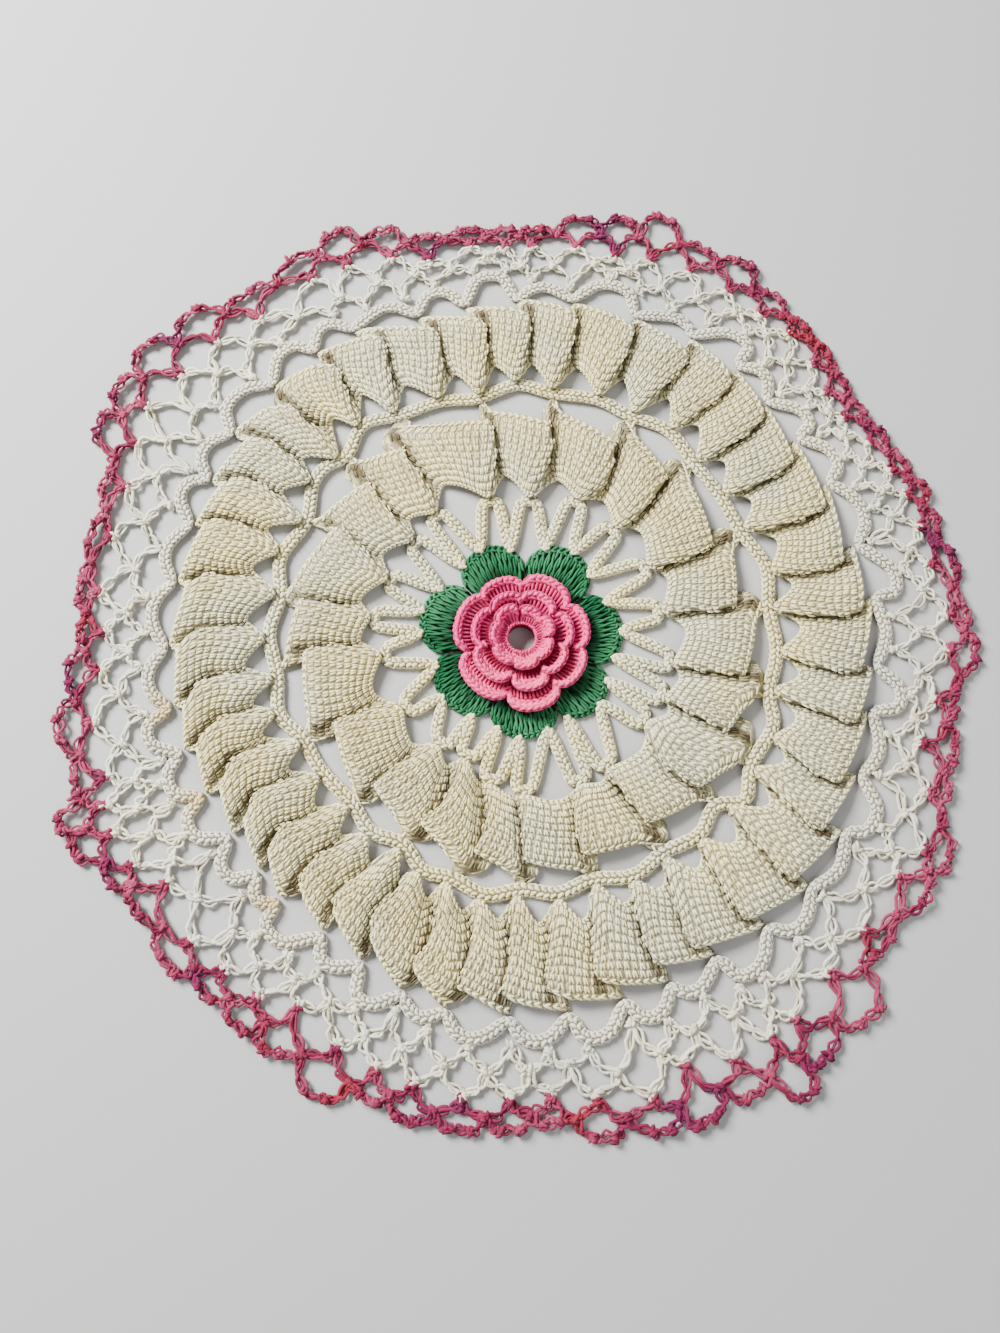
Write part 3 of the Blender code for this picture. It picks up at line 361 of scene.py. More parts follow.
def directions(points):
    """Directions and radii of points (..., xyz)."""
    x, y = points[..., 0], points[..., 1]
    return np.degrees(np.arctan2(x, y)), np.hypot(x, y)


def unit(v):
    """The same ways, 1 long."""
    return v / np.maximum(np.linalg.norm(v, axis=-1, keepdims=True), 1e-9)


def dice(name):
    """Repeatable random numbers for one piece."""
    return np.random.default_rng([SEED, *name.encode()])


def uneven(rng, mean, spread, n):
    """n random shares about a mean, between 0 and 1."""
    return np.clip(mean + spread * rng.standard_normal(n), 0, 1)


def fade(x, start, width, least=0.0):
    """From least at start to 1 over a width. A negative width counts down from start."""
    return np.clip((x - start) / width, least, 1)


# ---------------------------------------------------------------- meshes
class Shape:
    """Points, faces and colouring of one piece, gathered part by part."""

    def __init__(self):
        self.points, self.faces, self.marks, self.count = [], {3: [], 4: []}, [], 0

    def add(self, points, faces, deep=0.0, stain=0.0, weave=(0.0, 0.0)):
        """The first mark is painted shade with some random tone, from 0 on top to 1 in the folds.
        The second is yellowed stains and the painted light on the pleats' ridges. weave: places
        along and across the stitches.
        """
        n = len(points)
        self.points.append(points)
        for group in faces:
            self.faces[group.shape[1]].append(group + self.count)
        mark = np.zeros((n, 4))
        mark[:, 0], mark[:, 1] = deep, stain
        mark[:, 2:] = weave
        self.marks.append(mark)
        self.count += n

    def piece(self, name, look, place=real_place):
        """The object. place: moves its points to their real places."""
        mesh = bpy.data.meshes.new(name)
        points = place(np.concatenate(self.points)) / 1000
        mesh.vertices.add(len(points))
        mesh.vertices.foreach_set("co", points.astype(np.float32).ravel())
        loops, starts, at = [], [], 0
        for size, groups in self.faces.items():
            if groups:
                faces = np.concatenate(groups)
                loops.append(faces.ravel())
                starts.append(at + size * np.arange(len(faces)))
                at += faces.size
        loops, starts = np.concatenate(loops), np.concatenate(starts)
        mesh.loops.add(len(loops))
        mesh.loops.foreach_set("vertex_index", loops.astype(np.int32))
        mesh.polygons.add(len(starts))
        mesh.polygons.foreach_set("loop_start", starts.astype(np.int32))
        mesh.update(calc_edges=True)
        marks = np.concatenate(self.marks)
        for column, word in enumerate(("deep", "stain")):
            values = mesh.attributes.new(word, "FLOAT", "POINT")
            values.data.foreach_set("value", marks[:, column].astype(np.float32))
        weave = np.zeros((len(points), 3), np.float32)
        weave[:, :2] = marks[:, 2:]
        mesh.attributes.new("weave", "FLOAT_VECTOR", "POINT").data.foreach_set(
            "vector", weave.ravel())
        mesh.shade_smooth()
        mesh.materials.append(look)
        piece = bpy.data.objects.new(name, mesh)
        bpy.context.scene.collection.objects.link(piece)
        return piece


def facing_out(points, faces):
    """The same faces, turned so that the closed body they make faces out."""
    volume = 0.0
    for group in faces:
        for k in range(1, group.shape[1] - 1):
            a, b, c = (points[group[:, j]] for j in (0, k, k + 1))
            volume += np.einsum("ij,ij->", a, np.cross(b, c))
    return faces if volume > 0 else [group[:, ::-1] for group in faces]


def add_threads(shape, a, b, up, wide, high, rise=0.0, **colouring):
    """Short plump lengths of thread from each point of a to each of b, bowed up by rise."""
    n = len(a)
    way = unit(b - a)
    side = unit(np.cross(way, up))
    top = np.cross(side, way)
    wide, high, rise = (np.broadcast_to(x, n)[:, None] * 1.0 for x in (wide, high, rise))
    points = np.empty((n, 10, 3))
    points[:, 0], points[:, 9] = a, b
    for k, t in enumerate((0.27, 0.73)):
        mid = a + (b - a) * t + top * rise
        for j, (x, y) in enumerate(((1, 0), (0, 1), (-1, 0), (0, -1))):
            points[:, 1 + 4 * k + j] = mid + side * wide * x / 2 + top * high * y / 2
    quads = np.array([(1 + j, 1 + (j + 1) % 4, 5 + (j + 1) % 4, 5 + j) for j in range(4)])
    tris = np.array([(0, 1 + (j + 1) % 4, 1 + j) for j in range(4)]
                    + [(9, 5 + j, 5 + (j + 1) % 4) for j in range(4)])
    faces = facing_out(points[0] - points[0].mean(0), [quads, tris])
    steps = (np.arange(n) * 10)[:, None, None]
    spread = {k: np.repeat(v, 10, 0) if np.ndim(v) and len(v) == n else v
              for k, v in colouring.items()}
    shape.add(points.reshape(-1, 3), [(g + steps).reshape(-1, g.shape[1]) for g in faces], **spread)


def add_strand(shape, line, radius, sides=5, **colouring):
    """A thread along a line of points, closed at both ends."""
    n = len(line)
    way = unit(np.gradient(line, axis=0))
    side = unit(np.cross(way, (0.0, 0.0, 1.0)) + 1e-6)
    top = np.cross(side, way)
    turns = np.arange(sides) * 2 * math.pi / sides
    rings = (line[:, None] + radius * (side[:, None] * np.cos(turns)[None, :, None]
                                       + top[:, None] * np.sin(turns)[None, :, None]))
    points = np.concatenate([rings.reshape(-1, 3), line[:1], line[-1:]])
    pairs = [(j, (j + 1) % sides) for j in range(sides)]
    quads = [(i + j, i + k, i + sides + k, i + sides + j)
             for i in range(0, (n - 1) * sides, sides) for j, k in pairs]
    end = n * sides
    tris = [face for j, k in pairs
            for face in ((end, k, j), (end + 1, end - sides + j, end - sides + k))]
    faces = facing_out(points - points.mean(0), [np.array(quads), np.array(tris)])
    if np.ndim(colouring.get("deep", 0)):
        deep = colouring["deep"]
        colouring["deep"] = np.r_[deep, deep[0], deep[-1]]
    shape.add(points, faces, **colouring)


def add_shell(shape, top, under, closed, **colouring):
    """A body between two grids (along, across, xyz), which go all the way round if closed."""
    n, w = top.shape[:2]
    points = np.concatenate([top.reshape(-1, 3), under.reshape(-1, 3)])
    i, k = np.meshgrid(np.arange(n if closed else n - 1), np.arange(w - 1), indexing="ij")
    i, k = i.ravel(), k.ravel()
    j = (i + 1) % n
    one = np.stack([i * w + k, i * w + k + 1, j * w + k + 1, j * w + k], 1)
    faces = [one, one[:, ::-1] + n * w]
    i = np.arange(n if closed else n - 1)
    j = (i + 1) % n
    for edge in (0, w - 1):
        rim = np.stack([i * w + edge, j * w + edge, n * w + j * w + edge, n * w + i * w + edge], 1)
        faces.append(rim if edge == 0 else rim[:, ::-1])
    if not closed:
        k = np.arange(w - 1)
        for end in (0, n - 1):
            rim = np.stack([end * w + k + 1, end * w + k, n * w + end * w + k,
                            n * w + end * w + k + 1], 1)
            faces.append(rim if end == 0 else rim[:, ::-1])
    twice = {k: np.squeeze(np.tile(np.reshape(v, (n * w, -1)), (2, 1))) if np.ndim(v) else v
             for k, v in colouring.items()}
    shape.add(points, facing_out(points - points.mean(0), [np.concatenate(faces)]), **twice)


def on_floor(top):
    """The underside of a body that lies on the floor."""
    under = top.copy()
    under[..., 2] = 0.04
    return under


def two_pieces(name, ground, shape, looks, place=real_place):
    """A cloth and the stitches on it."""
    return (ground.piece(name + "_cloth", looks[0], place),
            shape.piece(name + "_stitches", looks[1], place))


# ---------------------------------------------------------------- lines and surfaces
def blend(p, q, m0, m1, t):
    """A smooth curve from p to q that leaves along m0 and arrives along m1."""
    return ((2 * t**3 - 3 * t**2 + 1) * p + (t**3 - 2 * t**2 + t) * m0
            + (3 * t**2 - 2 * t**3) * q + (t**3 - t**2) * m1)


def eased(points, per_step):
    """A smooth closed line through points (steps, ..., 3), with per_step points for each step."""
    slope = (np.roll(points, -1, 0) - np.roll(points, 1, 0)) / 2
    out = []
    for i in range(len(points)):
        j = (i + 1) % len(points)
        p, q = points[i], points[j]
        most = 1.2 * np.linalg.norm(q - p, axis=-1, keepdims=True)  # so that it doesn't overshoot
        m = [v * np.minimum(1, most / np.maximum(np.linalg.norm(v, axis=-1, keepdims=True), 1e-9))
             for v in (slope[i], slope[j])]
        out += [blend(p, q, *m, k / per_step) for k in range(per_step)]
    return np.array(out)


def evenly(line, pitch):
    """The same closed line with points at one even distance."""
    ring = np.concatenate([line, line[:1]])
    at = np.r_[0, np.cumsum(np.linalg.norm(np.diff(ring[:, :3], axis=0), axis=1))]
    n = max(int(round(at[-1] / pitch)), 2)
    where = np.arange(n) * at[-1] / n
    return np.stack([np.interp(where, at, ring[:, k]) for k in range(ring.shape[1])], 1)


class Surface:
    """A smooth strip through a grid of points (along, closed; across; xyz)."""

    ACROSS = 25

    def __init__(self, grid, places, per_step=9):
        want = np.linspace(0, 1, self.ACROSS)
        places = np.array(places)
        slope = np.gradient(grid, places, axis=1)
        k = np.clip(np.searchsorted(places, want, "right") - 1, 0, len(places) - 2)
        span = places[k + 1] - places[k]
        t = ((want - places[k]) / span)[None, :, None]
        m0, m1 = slope[:, k] * span[None, :, None], slope[:, k + 1] * span[None, :, None]
        self.grid = eased(blend(grid[:, k], grid[:, k + 1], m0, m1, t), per_step)
        along = np.roll(self.grid, -1, 0) - np.roll(self.grid, 1, 0)
        self.up = unit(np.cross(along, np.gradient(self.grid, axis=1)))
        steps = np.linalg.norm(np.roll(self.grid, -1, 0) - self.grid, axis=2)
        self.at = np.r_[0, np.cumsum(steps[:, 3:-3].mean(1))]
        self.long = self.at[-1]

    def sample(self, values, s, v):
        """Values at distances s along the strip and shares v of the way across."""
        n = len(self.grid)
        u = np.interp(np.mod(s, self.long), self.at, np.arange(n + 1))
        i, k = np.floor(u).astype(int), np.clip(v, 0, 0.99999) * (self.ACROSS - 1)
        j = np.floor(k).astype(int)
        f, g = (u - i)[..., None], (k - j)[..., None]
        a, b = i % n, (i + 1) % n
        return ((1 - f) * ((1 - g) * values[a, j] + g * values[a, j + 1])
                + f * ((1 - g) * values[b, j] + g * values[b, j + 1]))

    def share(self, s):
        """How far along its own pleat a place of a pleated strip is, between 0 and 1."""
        u = np.interp(np.mod(s, self.long), self.at, np.arange(len(self.grid) + 1))
        return np.mod(u * self.pleats / len(self.grid), 1)

    def place(self, s, v, lift=0.0):
        """Points lifted off the strip, and which way is up there."""
        up = unit(self.sample(self.up, s, v))
        return self.sample(self.grid, s, v) + up * np.asarray(lift)[..., None], up


def ring_line():
    """Centre line of the cord between the rounds: (deg, r) all the way round."""
    line = eased(turn(*np.array(CORD_RING, float).T, 0.0), 6)
    deg, r = directions(line)
    return sorted(zip(deg % 360, r))


def inner_edge(tips, deg):
    """Radius of a round's inner edge: blunt tips on the cord, with an open arch between them.

    tips: (deg, r, mouth_deg, mouth_r) all the way round. The mouth is before its tip.
    """
    k = next(k for k, tip in enumerate(tips) if tip[0] > deg)
    last, (tip_deg, tip_r, mouth_deg, mouth_r) = tips[k - 1], tips[k]
    side_deg, side_r = (last[0], last[1]) if deg < mouth_deg else (tip_deg, tip_r)
    blunt = math.degrees(TIP_HALF / side_r)
    share = (abs(deg - side_deg) - blunt) / (abs(mouth_deg - side_deg) - blunt)
    share = min(max(share, 0), 1)
    return side_r + (mouth_r - side_r) * (share + math.sin(math.pi / 2 * share)) / 2


def pleat_height(deg):
    """The pleats lie flatter on the left side, and stand a little unevenly."""
    flat = 0.14 * math.exp(-(((deg % 360 - 265) / 32) ** 2))
    return 1.0 - flat + 0.05 * math.sin(math.radians(deg * 7.3)) + 0.03 * math.sin(deg * 0.61)


Pleat = namedtuple("Pleat", "ridge tip_deg tip_r mouth_deg mouth_r high low seat_deg seat_r")


def turned(pleat, turns):
    """A pleat, some whole turns on."""
    return pleat._replace(**{word: getattr(pleat, word) + 360 * turns
                             for word in ("ridge", "tip_deg", "mouth_deg", "seat_deg")})


def ridge_at(pleat, k, bows):
    """Direction of a pleat's ridge at one of STRIP_ROWS, and 1 mm there."""
    across = STRIP_ROWS[k][0]
    mm = math.degrees(1 / (pleat.tip_r + (pleat.low - pleat.tip_r) * across))
    bow = float(around(bows, pleat.ridge % 360, k)) if k else 0.0
    start = pleat.tip_deg + TIP_HALF * mm
    return start + (pleat.ridge - pleat.tip_deg) * across**0.8 + bow * mm, mm


def valley_at(pleat, after, k, bows):
    """Direction of the valley after a pleat. Further out it lies under the pleat's ridge."""
    across, _, under = STRIP_ROWS[k]
    if across == 1:
        return pleat.seat_deg
    ridge, mm = ridge_at(pleat, k, bows)
    tip = pleat.tip_deg
    open_ = tip + float(around(VALLEYS, tip % 360, 1)) * (after.mouth_deg - tip)
    hidden = ridge - under * mm
    if across > 0.8:  # a square corner at the seat
        hidden = min(hidden, pleat.seat_deg + 6 * (1 - across) * mm)
    return hidden + (open_ - hidden) * max(1 - across / 0.45, 0)


def rim_of(last, pleat, corner, narrow_seats):
    """A pleat's outer edge, from its seat to its corner: directions, and the radii there."""
    span = corner - last.seat_deg
    low = min(pleat.low, pleat.seat_r - 0.6)
    if narrow_seats:
        slack, drop, rim = 0.45, 0.5, [last.seat_r, pleat.high]
    else:
        slack, drop, rim = 0.3, 0.3, [last.seat_r - 0.6, max(pleat.high, last.seat_r - 0.2)]
    spot = [last.seat_deg, last.seat_deg + SEAT_BESIDE * span, corner - slack * span, corner]
    return spot, rim + [pleat.high - drop * (pleat.high - low), low]


def pleated(pleats, bows, narrow_seats):
    """A strip folded into pleats, each lying over the start of the next one.

    narrow_seats: whether the outer edge drops away at once beside the places where it is sewn.
    """
    n = len(pleats)
    pleats = [*(turned(p, -1) for p in pleats[-2:]), *pleats, *(turned(p, 1) for p in pleats[:2])]
    tips = [pleat[1:5] for pleat in pleats]
    grid = []
    for last, pleat, after in zip(pleats[1:], pleats[2:n + 2], pleats[3:]):
        tall = pleat_height(pleat.ridge)
        corner, _ = ridge_at(pleat, len(STRIP_ROWS) - 1, bows)
        spot, rim = rim_of(last, pleat, corner, narrow_seats)
        columns = []
        for k, (across, lift, _) in enumerate(STRIP_ROWS):
            begin = valley_at(last, pleat, k, bows)
            end, mm = ridge_at(pleat, k, bows)
            wide = end - begin
            turn_back = max(-1.1 * mm, TURNED_IN * (valley_at(pleat, after, k, bows) - end))
            column = []
            for deg, height in (
                *((begin + share * wide, 1 - (1 - share) ** 3) for share in RISING),
                (end - min(RIDGE_ROUND * mm, 0.18 * wide), 1.0), (end, 0.9),
                (end + turn_back, 0.58),
            ):
                inner = pleat.mouth_r
                inner += (inner_edge(tips, deg) - inner) * (1 - across) ** 0.4
                r = inner + (np.interp(deg, spot, rim) - inner) * across
                z = FOLD_LOW + max(height, 0.1 * across) * (FOLD_TOP - FOLD_LOW) * lift * tall
                column.append((*polar(deg, r), z))
            columns.append(column)
        grid += list(np.array(columns).swapaxes(0, 1))
    surface = Surface(np.array(grid), [row[0] for row in STRIP_ROWS])
    surface.pleats = n
    surface.past = past_ridge(surface.grid, pleats[1:n + 1], bows)
    return surface


def past_ridge(grid, pleats, bows):
    """How far past the ridge of the pleat before it each point of a strip is, in mm."""
    steps = len(grid) // len(pleats)
    deg, r = directions(grid)
    past = np.empty(grid.shape[:2])
    for i, pleat in enumerate(pleats):
        ridges = [ridge_at(pleat, k, bows)[0] for k in range(len(STRIP_ROWS))]
        ridge = np.interp(np.linspace(0, 1, grid.shape[1]), [r[0] for r in STRIP_ROWS], ridges)
        part = slice(i * steps, (i + 1) * steps)
        past[part] = np.radians((deg[part] - ridge + 180) % 360 - 180)
    return past * r


def inner_surface():
    """The inner strip, from the zigzag cord to the cord ring."""
    pleats, line = [], ring_line()
    for _, tip_deg, tip_r, mouth_deg, mouth_r, ridge, high, low, seat_deg in INNER_PLEATS:
        whole = -360 if tip_deg > 360 else 0
        seat_r = float(around(line, seat_deg + whole, 1)) - CORD_WIDE / 2 + INNER_SEWN_ON
        pleats.append(Pleat(ridge + whole, tip_deg + whole, tip_r, mouth_deg + whole, mouth_r, high,
                            low, seat_deg + whole, seat_r))
    return pleated(pleats, INNER_BOWS, True)


def outer_surface():
    """The outer strip, from the cord ring to the scalloped cord."""
    pleats, line = [], ring_line()
    for ridge, tip_deg, mouth_deg, mouth_r, rim, corner, seat_deg, seat_r, _, _ in OUTER_PLEATS:
        tip_r = float(around(line, tip_deg, 1)) + CORD_WIDE / 2 - SEWN_ON
        pleats.append(Pleat(ridge, tip_deg, tip_r, mouth_deg, mouth_r, rim, corner, seat_deg,
                            seat_r + SEWN_ON / 2))
    return pleated(pleats, OUTER_BOWS, False)


# ---------------------------------------------------------------- stitched strips
def painted_fold_shade(surface, s, across, up, z):
    """How much painted shade a place of a strip gets, from 0 in the open to 1 in the folds.

    That follows from which way the cloth faces there, its height and how far along its pleat it
    is: steep and low places and the turned-in end get painted shade, and just past each ridge
    lies a painted shadow line with a lighter painted shade beside it. The start of each pleat lies
    under the one before it.
    """
    steep = fade(up[..., 2], 0.62, -0.5)
    low = fade(z, 2.6, -1.6)
    past = surface.sample(surface.past[..., None], s, across)[..., 0]
    beside = fade(past, -3.0, 1.8, 0.1)  # what lies further back is only seen outside it
    # painted shadow: a dark line just past each ridge, with a lighter painted shade beside it and
    # on the turned-in end
    line = beside * fade(past, LINE_TO, -0.6) * fade(across, 1.0, -0.12, 0.1)
    shade = 0.42 * beside * fade(past, SHADE_TO, -0.9)
    turned_in = 0.4 * beside * fade(surface.share(s), 0.78, 0.06)
    folded = (0.5 * steep + 0.3 * low) * beside + np.maximum(shade, turned_in)
    folded *= fade(across, 0.95, -0.4, 0.1)  # the sewn corners lie open to the light
    return np.clip(np.maximum(folded, line), 0, 1)


def strip_ground(surface, name, look, pitch):
    """The ground of a strip, a thin closed sheet under its stitches."""
    n = int(round(surface.long / (pitch / 2)))
    s, v = np.meshgrid(np.arange(n) * surface.long / n, np.linspace(0, 1, 17), indexing="ij")
    top, up = surface.place(s, v, CLOTH / 2)
    under, _ = surface.place(s, v, -CLOTH / 2)
    for side in (top, under):
        side[..., 2] = np.maximum(side[..., 2], 0.0)
    past = surface.sample(surface.past[..., None], s, v)[..., 0]
    corner = fade(past, -1.2, -1.0) * fade(v, 0.5, 0.15)  # open to the light
    # painted shade: the ground between the stitches is half way to the shade colour, more in the
    # folds and less at the corners open to the light
    deep = (0.5 + 0.5 * painted_fold_shade(surface, s, v, up, top[..., 2])) * (1 - 0.75 * corner)
    shape = Shape()
    add_shell(shape, top, under, True, weave=np.stack([s / pitch, v * 10], -1), deep=deep)
    return shape.piece(name + "_cloth", look)


def strip_stitches(surface, name, look, sizes):
    """Rows of single crochet: V stitches opening outwards, each row a little further along."""
    rng = dice(name)
    pitch, thread = STRIP_PITCH * sizes.stitch * 1000, sizes.thread * 1000
    n = int(round(surface.long / pitch))
    step, gauge = surface.long / n, (1 - 2 * STRIP_MARGIN) / STITCH_ROWS
    c, k = (x.ravel() for x in np.meshgrid(np.arange(n), np.arange(STITCH_ROWS), indexing="ij"))
    s0 = (c + 0.22 * k + 0.06 * rng.standard_normal(len(c))) * step
    v0 = STRIP_MARGIN + (k + 0.5) * gauge + 0.05 * gauge * rng.standard_normal(len(c))
    _, up = surface.place(s0, v0)
    s0, v0 = s0[up[:, 2] > -0.2], v0[up[:, 2] > -0.2]
    m = len(s0)
    shape = Shape()
    for side in (-1, 1):
        ends = []
        for t, spread, raised in STITCH_ENDS:
            s = s0 + side * (spread + 0.025 * rng.standard_normal(m)) * step
            lift = CLOTH / 2 + raised + 0.06 * rng.standard_normal(m)
            ends.append(surface.place(s, v0 + t * gauge, lift))
        (a, up), (b, _) = ends
        fat = thread * (1.10 + 0.08 * rng.standard_normal(m))
        # painted shade from the folds, with random tone
        deep = uneven(rng, 0.95 * painted_fold_shade(surface, s, v0, up, a[..., 2]) + 0.03, 0.12, m)
        # painted light: a yellow tint on the pleats' ridges, where the light falls, in the same
        # mark as the yellowed stains
        ridge_light = np.exp(-(((surface.share(s) - 0.6) / 0.16) ** 2))  # most on the ridges
        add_threads(shape, a, b, up, fat, thread * 1.15, 0.28, deep=deep,
                    stain=0.17 * ridge_light * (0.4 + 0.6 * np.sin(s / 23.0 + 2.0 * v0) ** 2))
    return shape.piece(name + "_stitches", look)


def strip_edges(surface, name, look, sizes):
    """The braided edges: slanted loops one after the other along both sides of the strip."""
    rng = dice(name)
    thread = sizes.thread * 1000
    n = int(round(surface.long / (EDGE_PITCH * sizes.stitch * 1000)))
    step = surface.long / n
    shape = Shape()
    for edge, inward in ((0.0, 1), (1.0, -1)):
        for near, far, lift, start, end, fat in EDGE_BRAIDS:
            s = (np.arange(n) + 0.05 * rng.standard_normal(n)) * step
            lift += CLOTH / 2 * 0.7
            a, up = surface.place(s + start * step, edge + inward * near, lift)
            b, _ = surface.place(s + end * step, edge + inward * far, lift)
            # painted shade from the folds, a little lighter on the braided edges
            deep = 0.7 * painted_fold_shade(surface, s, edge, up, a[..., 2]) - 0.1
            add_threads(shape, a, b, up, thread * fat, thread * fat * 0.9, 0.2,
                        deep=np.clip(deep, 0, 1))
    return shape.piece(name + "_edges", look)


# ---------------------------------------------------------------- cords
def towards(a, b, share):
    """Point a share of the way between two (deg, r) places."""
    (ax, ay), (bx, by) = polar(*a), polar(*b)
    x, y = ax + (bx - ax) * share, ay + (by - ay) * share
    deg = math.degrees(math.atan2(x, y))
    return deg + 360 * round((a[0] - deg) / 360), math.hypot(x, y)


def zigzag(corners, foot_wide, wide, spread, sink, full):
    """A cord's line (x, y, width) that goes from foot to foot over a blunt bend.

    corners: (foot, bend) pairs of (deg, r). spread: half the bend's width in degrees at each.
    sink: how much lower its shoulders are than its top. full: how far from the foot, in mm, the
    cord has its whole width.
    """
    n, stations = len(corners), []
    narrow = foot_wide + 0.62 * (wide - foot_wide)
    for i, (foot, bend) in enumerate(corners):
        last = corners[(i + 1) % n][0]
        last = (last[0] + 360 * (last[0] < foot[0] - 180), last[1])
        ends = [(bend[0] - spread[i], bend[1] - sink), (bend[0] + spread[i], bend[1] - sink)]
        leg = math.dist(polar(*foot), polar(*ends[0]))
        down = math.dist(polar(*last), polar(*ends[1]))
        stations += [
            (*foot, foot_wide),
            (*towards(foot, ends[0], 0.45 * full / leg), narrow),
            (*towards(foot, ends[0], full / leg), wide),
            (*ends[0], wide),
            (*bend, wide),
            (*ends[1], wide),
            (*towards(last, ends[1], full / down), wide),
            (*towards(last, ends[1], 0.45 * full / down), narrow),
        ]
    return np.array([(*polar(d, r), 0.0, w) for d, r, w in stations])


def leaf_edge(deg):
    """Radius of the leaves' outline at an angle."""
    for (dip, dip_r, _, tip_r), nxt in zip(LEAVES, LEAVES[1:] + LEAVES[:1]):
        end = nxt[0] + 360 * (nxt[0] < dip)
        t = ((deg - dip) % 360) / (end - dip)
        if t <= 1:
            return dip_r + (nxt[1] - dip_r) * t + (tip_r - dip_r) * math.sin(math.pi * t) ** 0.5
    return LEAVES[0][1]


def star_line():
    """The zigzag cord: a foot on the leaves before each pleat, and a bend under its tip."""
    corners, spread = [], []
    for row in INNER_PLEATS:
        bend = (row[1], row[2] - STAR_WIDE / 2 + 0.6)
        corners.append(((row[0], leaf_edge(row[0]) - STAR_OVER), bend))
        spread.append(0.62 * math.degrees(STAR_WIDE / bend[1]))
    return zigzag(corners, STAR_FOOT, STAR_WIDE, spread, 0.35, 6.0)


def arc_line():
    """The scalloped cord: a foot at each seat and an arc to the next one."""
    corners, spread = [], []
    for row, nxt in zip(OUTER_PLEATS, OUTER_PLEATS[1:] + OUTER_PLEATS[:1]):
        seat_deg, seat_r, peak_deg, peak_r = row[6:]
        corners.append(((seat_deg, seat_r + 0.6 * ARC_FOOT), (peak_deg, peak_r - 0.3)))
        spread.append(0.24 * ((nxt[6] - seat_deg) % 360))
    return zigzag(corners, ARC_FOOT, ARC_WIDE, spread, 1.3, 4.5)


def cord_surface(line, high):
    """The upper surface of a flat cord along a closed line (x, y, z, width)."""
    line = evenly(eased(line, 8), 1.1)
    way = unit(np.roll(line[:, :2], -1, 0) - np.roll(line[:, :2], 1, 0))
    side = np.stack([-way[:, 1], way[:, 0]], 1)
    grid = np.zeros((len(line), len(CORD_SECTION), 3))
    for k, (v, share) in enumerate(CORD_SECTION):
        grid[:, k, :2] = line[:, :2] + side * (line[:, 3:4] - 0.5) * (v - 0.5)
        grid[:, k, 2] = high * share
    return Surface(grid, [v for v, _ in CORD_SECTION], per_step=1)


def stained(name, points):
    """How yellow a piece is at each point."""
    out = np.zeros(points.shape[:-1])
    for deg, r, reach, strength in STAINS[name]:
        far = np.hypot(*(points[..., k] - polar(deg, r)[k] for k in (0, 1)))
        out = np.maximum(out, strength * np.exp(-(far / reach) ** 2))
    return out


def make_cord(name, line, looks, sizes):
    """A flat cord: V stitches that open along it, with braided edges on both sides."""
    rng = dice(name)
    pitch, thread = CORD_PITCH * sizes.stitch * 1000, sizes.thread * 1000
    surface = cord_surface(line, CORD_HIGH)
    n = int(round(surface.long / pitch))
    step = surface.long / n
    s, v = np.meshgrid(np.arange(2 * n) * step / 2, np.linspace(0, 1, 7), indexing="ij")
    top, _ = surface.place(s, v)
    ground, shape = Shape(), Shape()
    # painted shade: the ground between the stitches is drawn three quarters of the way to the shade
    # colour; the yellowed stains are real
    add_shell(ground, top, on_floor(top), True, deep=0.75, stain=stained(name, top),
              weave=np.stack([s / step, v * 2], -1))
    for side in (-1, 1):
        for start, end, inner, outer, fat, lift in CORD_BRAIDS:
            s = (np.arange(n) + 0.5 * (side > 0) + 0.05 * rng.standard_normal(n)) * step
            drift = 0.5 + 0.012 * rng.standard_normal(n)
            a, up = surface.place(s + start * step, drift + side * inner, lift)
            b, _ = surface.place(s + end * step, drift + side * outer, lift)
            add_threads(shape, a, b, up, thread * fat, thread * 0.9, 0.16,
                        deep=uneven(rng, 0.05, 0.14, n), stain=stained(name, a))
    return *two_pieces(name, ground, shape, looks), surface.long


# ---------------------------------------------------------------- rose and leaves
def patch_frame(function, s, t):
    """Points and upward directions of a patch given by a function of s and t."""
    e = 1e-3
    here = function(s, t)
    along = function(s + e, t) - function(s - e, t)
    across = function(s, t + e) - function(s, t - e)
    return here, unit(np.cross(along, across))


def petal(row, foot, rim, eye, notch, curl, lean):
    """A rounded petal as a function of s (-1 to 1 along its rim) and t (0 at its root, 1 at it).

    lean: how much higher it stands than its ring, and how much higher its clockwise side is.
    """
    deg, half, tip, _ = row

    def place(s, t):
        reach = notch + (tip - notch) * np.sqrt(np.clip(1 - np.abs(s) ** 3.0 * 0.98, 0, 1))
        angle = deg + half * s * (1.06 - 0.04 * t)
        r = eye + (reach - eye) * t
        z = foot + (rim - foot) * np.maximum(t, 0) ** 1.4 - 0.9 * np.abs(s) ** 3 * t
        z = z + curl * np.clip((t - 0.72) / 0.28, 0, 1) ** 1.5 + (lean[0] + lean[1] * s) * t
        return turn(angle, r - curl * 0.5 * np.clip((t - 0.85) / 0.15, 0, 1) ** 2, z)

    return place


def worked_area(top):
    """Area of a petal or leaf as it is worked, from the grid of its cloth."""
    a, b = np.diff(top, axis=0)[:, :-1], np.diff(top, axis=1)[:-1]
    return CURVED * np.linalg.norm(np.cross(a, b), axis=-1).sum()


def add_braid(shape, place, s, until, row, thread, rise, deep):
    """Slanted loops on a patch, each from s at t0 to until at t1. row: t0, t1, lift, fat."""
    t0, t1, lift, fat = row
    a, up = patch_frame(place, s, t0)
    b, _ = patch_frame(place, until, t1)
    fat = thread * fat
    add_threads(shape, a + up * lift, b + up * lift, up, fat, fat, rise, deep=deep)


